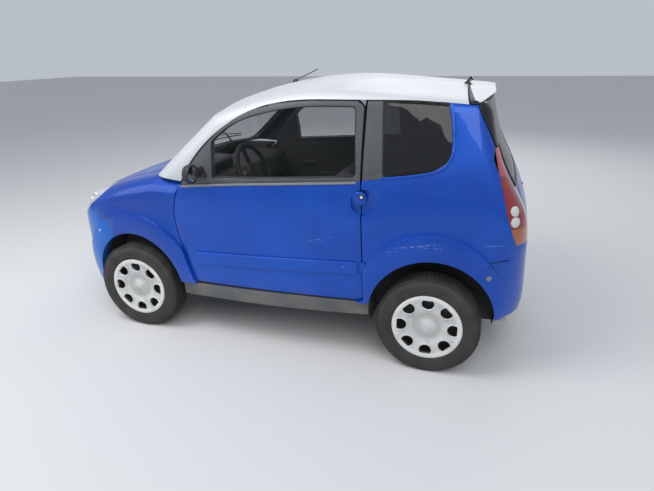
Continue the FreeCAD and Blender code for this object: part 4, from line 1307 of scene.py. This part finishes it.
# %% [markdown]
# The bulkhead has openings for the frame, and the cabin is open above the front wheel housings. A
# sound-proofing mat hangs before it all: a grid draped by rays over the bulkhead and the housings.
# Its columns stand closer together where the housing's side wall drops away.

# %% Bulkhead mat
HOUSING_Y, HOUSING_EDGE, HOUSING_FOOT, MAT_HALF = 0.4110, 0.54, 0.262, 0.597
BULKHEAD_X, MAT_TOP, MAT_ROWS, MAT_GAP = 0.5835, 0.742, 16, 0.0035
MAT_FOOT = skin_at("floor_pan", (0.45, 0.20, 0.60), (0, 0, -1))[0].z + 0.001
outer = [share_of((MAT_HALF, HOUSING_Y + 0.001), i, 9) for i in range(9)]
inner = [(HOUSING_Y - 0.0025) * (1 - i / 15) for i in range(31)]


def mat_place(y, z):
    """Where the mat hangs at one place across the cabin, just behind what a ray meets."""
    start = Vector((0.30, math.copysign(min(abs(y), HOUSING_EDGE), y), max(z, HOUSING_FOOT)))
    hit = tree_of("wheel_liners").ray_cast(start, Vector((1, 0, 0)), 0.5)[0]
    return (min(hit.x if hit else BULKHEAD_X, BULKHEAD_X) - MAT_GAP, y, z)


mat_heights = [share_of((MAT_FOOT, MAT_TOP), row, MAT_ROWS) for row in range(MAT_ROWS)]
mat_places = [*outer, *inner, *(-y for y in reversed(outer))]
rows = [[mat_place(y, z) for y in mat_places] for z in mat_heights]
sheet(rows, 0.005, "bulkhead_mat", lining, angle=50.0)
print("mat foot at", round(MAT_FOOT, 3))

# %% [markdown]
# ## Wiper, washers, aerial and other small outside parts
# The wiper arm is a bent tube that follows the glass. Its blade is a thin strip of rubber under a
# black bridge. Each place comes from a ray, so nothing floats above the skin or sinks into it.

# %% Wiper and washers
KNOB = (
    (0.0, -0.003), (0.0135, -0.003), (0.0145, 0.006), (0.0125, 0.014), (0.008, 0.017), (0.0, 0.018),
)
NOZZLE = ((0.0, -0.002), (0.0085, -0.002), (0.0085, 0.003), (0.006, 0.007), (0.0, 0.008))
WIPER_Y, WIPER_POINTS, WIPER_LIFT = (-0.40, 0.18), 15, 0.008
PIVOT_Y, PIVOT_AHEAD = -0.36, 0.022
OVERHEAD, DOWN = 1.7, Vector((0, 0, -1))


def on_glass(x, y, lift):
    place, normal = skin_at("windscreen", (x, y, OVERHEAD), DOWN)
    return place + (normal if normal.z > 0 else -normal) * lift


def on_top(nodes, x, y):
    """The highest place of some nodes at one spot of the plan."""
    start = Vector((x, y, OVERHEAD))
    hits = [tree_of(node).ray_cast(start, DOWN)[0] for node in nodes]
    return max((hit for hit in hits if hit is not None), key=lambda hit: hit.z)


def glass_foot(y):
    """X of the windscreen's lowest point that shows, at one distance from the middle."""
    for step in range(400):
        x = 0.80 - step * 0.002
        place, normal, _, _ = tree_of("windscreen").ray_cast(Vector((x, y, OVERHEAD)), DOWN)
        if place is not None and normal.z > 0.2:
            return x
    raise ValueError("no glass at this distance from the middle")


print("glass foot at", [round(glass_foot(y), 3) for y in (-0.5, -0.3, 0.0, 0.3, 0.5)])
blade, bridge = [], []
for i in range(WIPER_POINTS):
    share = i / (WIPER_POINTS - 1)
    y = share_of(WIPER_Y, i, WIPER_POINTS)
    place = on_glass(glass_foot(y) - 0.040 - 0.02 * share, y, WIPER_LIFT)
    blade.append(place)
    bridge.append(place + Vector((0.25, 0, 0.97)) * (0.010 + 0.012 * math.sin(math.pi * share)))
middle = blade[WIPER_POINTS // 2]
round_the_foot = ["scuttle", "windscreen_frame", "windscreen", "bonnet", "front_wings"]
pivot = on_top(round_the_foot, glass_foot(PIVOT_Y) + PIVOT_AHEAD, PIVOT_Y)
arm = (
    pivot + Vector((0, 0, 0.014)), pivot + Vector((-0.02, 0.05, 0.030)),
    middle + Vector((0.02, -0.12, 0.042)), middle + Vector((0.006, 0, 0.026)),
)
close_piece(tube(blade, 0.0035), "wiper_blade", rubber)
close_piece(tube(bridge, 0.0030), "wiper_bridge", black_plastic)
close_piece(tube(arm, 0.0050), "wiper_arm", black_plastic)
fitted(KNOB, 28, pivot, (0.2, 0, 1), "wiper_knob", black_plastic)
for side, sign in SIDES:
    y = 0.20 * sign
    place = on_top(["bonnet", "scuttle"], glass_foot(y) + 0.06, y)
    fitted(NOZZLE, 20, place, (0, 0, 1), "washer_jet_" + side, black_plastic, "bonnet")
print("wiper and washers placed, pivot", [round(v, 3) for v in pivot])

# %% [markdown]
# The aerial lies back over the roof on a small foot. The foot is turned and stands on the roof
# where a ray from above meets it, and the rod is a thin tube from there to its tip.

# %% Aerial
AERIAL_FOOT, AERIAL_TIP = (0.011, 0.0), Vector((-0.129, 0.0, 1.468))
AERIAL_SHAPE = (
    (0.0, -0.004), (0.019, -0.004), (0.019, 0.003), (0.014, 0.011), (0.007, 0.017), (0.0, 0.018),
)
place = on_top(["roof", "windscreen_frame"], *AERIAL_FOOT)
foot = aim(turned(AERIAL_SHAPE, 28), place, (0, 0, 1))
rod_start = place + Vector((-0.002, 0, 0.012))
rod = tube((rod_start, rod_start.lerp(AERIAL_TIP, 0.25), AERIAL_TIP), 0.0026)
close_piece(joined([foot, rod]), "aerial", black_plastic)
print("aerial foot at", [round(v, 3) for v in place])

# %% [markdown]
# Small round things: lock barrels in the door handles and in the tailgate, studs of the rear
# bumper, markers of the front bumper, and the mirror glass. All are turned.

# %% Locks, studs and mirrors
BARREL = (
    (0.0, -0.004), (0.0075, -0.004), (0.0075, 0.0030), (0.0058, 0.0036), (0.0054, 0.0026),
    (0.0, 0.0026),
)
COLLAR = ((0.0078, -0.003), (0.0135, -0.003), (0.0135, 0.0012), (0.0115, 0.0022), (0.0078, 0.0012))
STUD = (
    (0.0, -0.002), (0.0125, -0.002), (0.0125, 0.0008), (0.0085, 0.0014), (0.0070, 0.0034),
    (0.0, 0.0042),
)
SCREW = ((0.0, -0.003), (0.0065, -0.003), (0.0068, 0.0008), (0.0045, 0.0026), (0.0, 0.0030))
LOOKING_GLASS = ((0.0, -0.002), (0.0415, -0.002), (0.0415, 0.0006), (0.0400, 0.0012), (0.0, 0.0012))
LOCK, STUD_PLACE, SCREW_PLACE, MIRROR_Z = (-0.566, 0.917), (-1.182, 0.550), (1.074, 0.577), 0.995
STUD_ON = ("rear_bumper", "quarter_panels")
# Name, nodes it sits on, x and z, outline, finish, body and slot
ROUND_PARTS = (
    ("lock_barrel", ("handle_{}",), LOCK, BARREL, bright_metal, "door_{}", "steel"),
    ("lock_collar", ("handle_{}",), LOCK, COLLAR, black_plastic, "door_{}", "black_plastic"),
    ("bumper_stud", STUD_ON, STUD_PLACE, STUD, belt_plastic, "body", "grey_plastic"),
    ("front_screw", ("front_bumper",), SCREW_PLACE, SCREW, bright_metal, "body", "steel"),
)
for name, nodes, at, outline, surface, body, slot in ROUND_PARTS:
    for side, sign in SIDES:
        place, normal = side_skin([node.format(side) for node in nodes], *at, sign)
        label, rides = f"{name}_{side}", body.format(side)
        fitted(outline, 28, place, normal, label, surface, rides, slot)
for side, sign in SIDES:
    mirror = "mirror_" + side
    place, normal = skin_at(mirror, (0.0, 0.762 * sign, 1.005), (1, 0, 0))
    place.z = MIRROR_Z
    label = "mirror_glass_" + side
    fitted(LOOKING_GLASS, 40, place, normal, label, mirror_silver, body_of(mirror), "glass")
place, normal = skin_at("tailgate", (-1.8, 0, 0.86), (1, 0, 0))
fitted(BARREL, 28, place, normal, "tailgate_lock", black_plastic, "tailgate")
print("tailgate lock at", [round(v, 3) for v in place])

# %% [markdown]
# ## Inside
# Through the glass the dashboard, the steering wheel and the door trims show. Their CAD shapes are
# plain, so the binnacle, vents, radio panel, levers, pedals and belts are added. The binnacle is a
# box with rounded edges. The vents are turned rings.

# %% Dashboard
def slab(low, high, edge, segments=2):
    """A box with rounded edges between two corners."""
    bpy.ops.object.select_all(action="DESELECT")
    middle = [(a + b) / 2 for a, b in zip(low, high)]
    bpy.ops.mesh.primitive_cube_add(size=1, location=middle)
    piece = bpy.context.object
    piece.scale = [b - a for a, b in zip(low, high)]
    bpy.ops.object.transform_apply(location=False, rotation=False, scale=True)
    round_edges(piece, edge, segments)
    return piece


VENT = (
    (0.030, -0.004), (0.036, 0.002), (0.036, 0.008), (0.032, 0.011), (0.028, 0.009), (0.027, -0.004),
)
VENT_Y, VENT_Z, SLAT_PITCH, SLAT_HALF = (0.475, 0.115, -0.115, -0.475), 0.845, 0.0095, 0.0012
DASH_FACE_X = 0.330
binnacle = slab((0.375, 0.165, 0.895), (0.515, 0.435, 0.985), 0.028, 5)
close_piece(binnacle, "binnacle", lining)
dial_glass = slab((0.371, 0.195, 0.915), (0.378, 0.405, 0.968), 0.003)
close_piece(dial_glass, "dial_glass", dark_glass, slot="glass")
for count, y in enumerate(VENT_Y):
    place, _ = skin_at("dashboard", (0.0, y, VENT_Z), (1, 0, 0))
    fitted(VENT, 32, place, (-1, 0, 0.25), f"vent_{count}", black_plastic)
    slats = []
    for k in range(-2, 3):
        low = (place.x - 0.006, y - 0.026, VENT_Z + k * SLAT_PITCH - SLAT_HALF)
        high = (place.x + 0.002, y + 0.026, low[2] + 2 * SLAT_HALF)
        slats.append(slab(low, high, 0.0008, 1))
    close_piece(joined(slats), f"vent_slats_{count}", black_plastic)
console = slab((DASH_FACE_X - 0.016, -0.085, 0.735), (DASH_FACE_X + 0.02, 0.085, 0.815), 0.006, 3)
close_piece(console, "radio_panel", black_plastic)
for count, y in enumerate((-0.055, 0.0, 0.055)):
    place, name = (DASH_FACE_X - 0.0155, y, 0.760), f"heater_knob_{count}"
    fitted(KNOB, 24, place, (-1, 0, 0), name, frame_plastic, slot="grey_plastic")
lid = slab((DASH_FACE_X - 0.004, -0.46, 0.735), (DASH_FACE_X + 0.03, -0.16, 0.800), 0.008, 3)
close_piece(lid, "glovebox_lid", lining)
print("dashboard dressed, vents:", len(VENT_Y))

# %% [markdown]
# The gear lever and the handbrake stand between the seats, and the two pedals hang in front of the
# driver. Rods are tubes, the grip and the pads are rounded boxes, and the boot is turned.

# %% Levers and pedals
GEAR_X, PEDAL_Y = 0.225, (0.235, 0.345)
BOOT = ((0.0, 0.0), (0.062, 0.0), (0.050, 0.02), (0.026, 0.05), (0.012, 0.085), (0.0, 0.086))
floor_z = on_top(["floor_pan"], 0.22, 0.0).z
lever_path = ((GEAR_X, 0, floor_z), (0.222, 0, floor_z + 0.12), (0.20, 0, floor_z + 0.24))
lever = tube(lever_path, 0.007)
grip = slab((0.180, -0.020, floor_z + 0.225), (0.220, 0.020, floor_z + 0.290), 0.016, 4)
boot = aim(turned(BOOT, 28), (GEAR_X, 0, floor_z), (0, 0, 1))
close_piece(joined([lever, grip, boot]), "gear_lever", black_plastic)
brake_places = ((0.06, 0.03), (-0.02, 0.075), (-0.13, 0.155))
brake_path = [(x, 0.0, floor_z + height) for x, height in brake_places]
close_piece(tube(brake_path, 0.013), "handbrake", black_plastic)
pedals = []
for y in PEDAL_Y:
    pedals.append(slab((0.545, y - 0.028, 0.395), (0.557, y + 0.028, 0.475), 0.005, 2))
    pedals.append(tube(((0.555, y, 0.44), (0.569, y, 0.53), (0.560, y, 0.703)), 0.007))
close_piece(joined(pedals), "pedals", black_plastic)
print("floor between the seats at z", round(floor_z, 3))

# %% [markdown]
# The steering wheel gets a soft pad on its boss, which turns with it, and a stalk on each side of
# the column, which doesn't.

# %% Steering wheel pad and stalks
WHEEL_CENTRE = Vector((0.175, 0.300, 0.905))
COLUMN = Vector((1.0, 0.0, -0.42)).normalized()
PAD = ((0.0, -0.004), (0.058, -0.004), (0.066, 0.002), (0.062, 0.016), (0.045, 0.024), (0.0, 0.027))
pad_place, _ = skin_at("steering_wheel", WHEEL_CENTRE - COLUMN * 0.12, COLUMN)
fitted(PAD, 40, pad_place, -COLUMN, "steering_wheel_pad", lining, "steering_wheel")
stalks = []
for side, sign in SIDES:
    root = WHEEL_CENTRE + COLUMN * 0.075 + Vector((0, 0.030 * sign, 0))
    bend, tip = Vector((0, 0.05 * sign, 0.006)), Vector((-0.012, 0.125 * sign, 0.016))
    stalks.append(tube((root, root + bend, root + tip), 0.006))
close_piece(joined(stalks), "stalks", black_plastic)
print("steering wheel pad at", [round(v, 3) for v in pad_place])

# %% [markdown]
# Each door has an armrest, a pocket and a pull on its inner side. They are rounded boxes that reach
# a little into the door's inner wall, which rays from the cabin find.

# %% Door trims
SUNK = 0.006
# Armrest, pocket and pull: x, z, how far it stands into the cabin, edge radius
DOOR_TRIMS = (
    ((-0.38, 0.08), (0.665, 0.705), 0.026, 0.010),
    ((-0.36, 0.18), (0.430, 0.560), 0.014, 0.008),
    ((0.13, 0.23), (0.760, 0.785), 0.022, 0.008),
)
for side, sign in SIDES:
    body = "door_" + side
    places = [(x, 0, z) for x in (-0.35, -0.1, 0.15) for z in (0.5, 0.7)]
    wall = min(abs(skin_at(body, place, (0, sign, 0))[0].y) for place in places)
    print("inner wall of the", side, "door at", round(wall, 3))
    trims = []
    for (x0, x1), (z0, z1), proud, edge in DOOR_TRIMS:
        y0, y1 = sorted(((wall - proud) * sign, (wall + SUNK) * sign))
        trims.append(slab((x0, y0, z0), (x1, y1, z1), edge, 3))
    close_piece(joined(trims), "door_trim_" + side, black_plastic, body)


# %% [markdown]
# Sun visors and a mirror hang from the roof, and a belt hangs on each pillar. The belt is a strip
# with a flat section, laid along a line just inside the pillar's cover.

# %% Mirror, visors and belts
SEAT_Y, VISOR_HALF, BELT_X = 0.30, 0.17, (-0.595, -0.590, -0.585, -0.585)
FLAT = ((-1.0, -1.0), (-1.0, 1.0), (1.0, 1.0), (1.0, -1.0))
screen_place, _ = skin_at("windscreen", (-0.1, 0.0, 1.285), (1, 0, 0))
mirror_at, half = screen_place + Vector((-0.050, 0, -0.012)), Vector((0.010, 0.095, 0.026))
inside_mirror = slab(mirror_at - half, mirror_at + half, 0.009, 3)
stem = tube((mirror_at, mirror_at + Vector((0.02, 0, 0.006)), screen_place), 0.006)
close_piece(joined([inside_mirror, stem]), "inside_mirror", black_plastic)
for side, sign in SIDES:
    middle = SEAT_Y * sign
    top = min(skin_at("roof", (x, middle, 1.0), (0, 0, 1))[0].z for x in (-0.12, -0.02)) - 0.004
    low, high = (-0.14, middle - VISOR_HALF, top - 0.016), (0.0, middle + VISOR_HALF, top)
    close_piece(slab(low, high, 0.007, 3), "sun_visor_" + side, lining, slot="grey_plastic")
    y = skin_at("pillar_covers", (-0.60, 0, 1.10), (0, sign, 0))[0].y - 0.010 * sign
    belt_y, belt_z = (y, y, y - 0.004 * sign, y - 0.004 * sign), (1.13, 0.95, 0.75, 0.50)
    path = between(list(zip(BELT_X, belt_y, belt_z)), 4)
    rows = [(Vector(place), Vector((0, -sign, 0)), Vector((1, 0, 0))) for place in path]
    close_piece(strip(rows, 0.046, 0.0016, FLAT), "seat_belt_" + side, lining, slot="seat_cloth")
print("visors under the roof at z", round(top, 3))

# %% [markdown]
# ## Seats
# Seats are cloth over foam, so each is blown up like a cushion. The CAD block is copied a little
# smaller and remeshed, a cloth simulation with pressure swells it without gravity, and how far any
# point may go is capped so that it keeps to its seat. One seat is simulated and the other is its
# copy.

# %% Cushions
SWELL_CAP = 0.024
SEAT_SHIFT = (0.0, -0.58, 0.0)
SEAT_MIDDLE_GAP, SHRUNK_BY = 0.005, 0.012
VOXEL, QUICK_VOXEL = 0.0070, 0.014
PRESSURE, STIFFNESS, FRAMES = 4.0, 18.0, 20


def soft_block(node, name):
    """The left half of a CAD seat, a little smaller all round."""
    piece = linked(name, frame["nodes"][node].data.copy())
    edit(piece)
    bpy.ops.mesh.remove_doubles(threshold=0.00002)
    bpy.ops.mesh.bisect(
        plane_co=(0, SEAT_MIDDLE_GAP, 0), plane_no=(0, 1, 0), clear_inner=True, use_fill=True
    )
    close_edit()
    mesh = piece.data
    points = [v.co for v in mesh.vertices]
    middle = sum(points, Vector()) / len(points)
    sizes = [max(p[i] for p in points) - min(p[i] for p in points) for i in range(3)]
    for vertex in mesh.vertices:
        for i in range(3):
            keep = (sizes[i] - SHRUNK_BY) / sizes[i]
            vertex.co[i] = middle[i] + (vertex.co[i] - middle[i]) * keep
    return piece


def inflate(piece):
    remesh = piece.modifiers.new("voxels", "REMESH")
    remesh.mode = "VOXEL"
    remesh.voxel_size = VOXEL
    apply_modifiers(piece)
    start = [v.co.copy() for v in piece.data.vertices]
    cloth = piece.modifiers.new("cloth", "CLOTH")
    cloth.settings.use_pressure = True
    cloth.settings.uniform_pressure_force = PRESSURE
    cloth.settings.effector_weights.gravity = 0.0
    cloth.settings.tension_stiffness = STIFFNESS
    cloth.settings.compression_stiffness = STIFFNESS
    cloth.settings.quality = 4
    cloth.point_cache.frame_start, cloth.point_cache.frame_end = 1, FRAMES
    for step in range(FRAMES):
        bpy.context.scene.frame_set(step + 1)
    pick_only(piece)
    bpy.ops.object.modifier_apply(modifier=cloth.name)
    bpy.context.scene.frame_set(1)
    for vertex, before in zip(piece.data.vertices, start):
        moved = vertex.co - before
        if moved.length > SWELL_CAP:
            vertex.co = before + moved * (SWELL_CAP / moved.length)


# %% [markdown]
# A cushion that swells freely would push into its neighbours, so it is held inside its box, with a
# soft stop over the last few millimetres. Sewn channels are pressed in where the cloth is stitched
# down to the foam.

# %% Seats
SOFT_STOP, CHANNEL_DEPTH, CHANNEL_WIDTH, ACROSS = 0.006, 0.007, 0.006, 1
# CAD node, name, lower and upper limits of the left one, places of its channels across the car
SEATS = (
    ("seat_cushions", "seat_cushion", (None, 0.062, None), (0.176, 0.518, None), (0.150, 0.430)),
    ("seat_backs", "seat_back", (None, 0.072, None), (None, 0.508, None), (0.160, 0.420)),
)


def keep_inside(piece, low, high):
    for vertex in piece.data.vertices:
        for i in range(3):
            for limit, sign in ((low[i], -1), (high[i], 1)):
                if limit is None:
                    continue
                past = (vertex.co[i] - limit) * sign + SOFT_STOP
                if past > 0:
                    squeezed = SOFT_STOP * math.tanh(past / SOFT_STOP)
                    vertex.co[i] = limit + sign * (squeezed - SOFT_STOP)


def channel(piece, places):
    """Sewn channels: points near each line sink along their own normal."""
    for vertex in piece.data.vertices:
        away = [(vertex.co[ACROSS] - place) / CHANNEL_WIDTH for place in places]
        dip = sum(math.exp(-(d**2)) for d in away)
        vertex.co -= vertex.normal * (CHANNEL_DEPTH * min(1.0, dip))


def subdivide(piece):
    finish = piece.modifiers.new("finish", "SUBSURF")
    finish.levels = finish.render_levels = 1


for node, name, low, high, places in SEATS:
    piece = soft_block(node, name + "_left")
    inflate(piece)
    keep_inside(piece, low, high)
    piece.data.update()
    channel(piece, places)
    smooth = piece.modifiers.new("smooth", "SMOOTH")
    smooth.factor, smooth.iterations = 0.5, 2
    apply_modifiers(piece)
    subdivide(piece)
    close_piece(piece, name + "_left", seat_cloth, "body", "seat_cloth", 60.0)
    other = twin(piece, name + "_right", mirror=False, shift=SEAT_SHIFT)
    subdivide(other)
    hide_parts(node)
    print(name, len(piece.data.vertices), "points")


# %% [markdown]
# ## Floor, light and camera
# The car stands on a plain pale floor under large soft lamps, as in a studio. The camera's place
# and lens were solved from the photograph, so the view is the photograph's view.

# %% Floor and light
bpy.ops.mesh.primitive_plane_add(size=60, location=(0, 0, 0))
floor = bpy.context.object
floor.name = "floor"
floor_surface = Surface("floor_pale", base_color=(0.60, 0.60, 0.60), roughness=0.85)
floor.data.materials.append(floor_surface.material)


def area_light(name, place, target, size, power):
    data = bpy.data.lights.new(name, "AREA")
    data.shape, data.size, data.energy = "DISK", size, power
    lamp = linked(name, data)
    lamp.location = place
    lamp.rotation_euler = (Vector(target) - Vector(place)).to_track_quat("-Z", "Y").to_euler()


# Name, place, what it points at, size and power
LIGHTS = (
    ("key", (-2.5, 4.5, 5.5), (0, 0, 0.6), 5.0, 190),
    ("fill", (5, 4, 3), (0, 0, 0.6), 4.0, 80),
    ("back", (-1, -5, 4.5), (0, 0, 0.8), 5.0, 110),
    ("top", (1.6, 1.8, 4.2), (0.7, 0.4, 0.7), 2.4, 95),
)
for light in LIGHTS:
    area_light(*light)
world = bpy.data.worlds.new("studio")
world.use_nodes = True
background = world.node_tree.nodes["Background"]
background.inputs["Color"].default_value = (0.84, 0.90, 1.0, 1.0)
background.inputs["Strength"].default_value = 0.58
bpy.context.scene.world = world
bpy.context.scene.view_settings.view_transform = "Standard"
print("lamps:", len(LIGHTS))

# %% [markdown]
# The camera's axes come from three angles, and its lens from a focal length in the photograph's own
# pixels.

# %% Camera
CAMERA_PLACE = Vector((-1.099, 2.891, 1.566))
YAW, PITCH, ROLL = -0.31217, 0.37725, -0.01723
level = math.cos(PITCH)
forward = Vector((-math.sin(YAW) * level, -math.cos(YAW) * level, -math.sin(PITCH)))
right = forward.cross(Vector((0, 0, 1))).normalized()
up = right.cross(forward)
right, up = (
    right * math.cos(ROLL) + up * math.sin(ROLL),
    up * math.cos(ROLL) - right * math.sin(ROLL),
)
FOCAL_PIXELS, PHOTO_WIDTH, SENSOR_WIDTH = 491.0, 654.0, 36.0
lens_data = bpy.data.cameras.new("camera")
lens_data.sensor_width = SENSOR_WIDTH
lens_data.lens = FOCAL_PIXELS / PHOTO_WIDTH * SENSOR_WIDTH
camera = linked("camera", lens_data)
turn = Matrix((right, up, -forward)).transposed().to_4x4()
camera.matrix_world = Matrix.Translation(CAMERA_PLACE) @ turn
bpy.context.scene.camera = camera
print("lens in mm", round(lens_data.lens, 2))
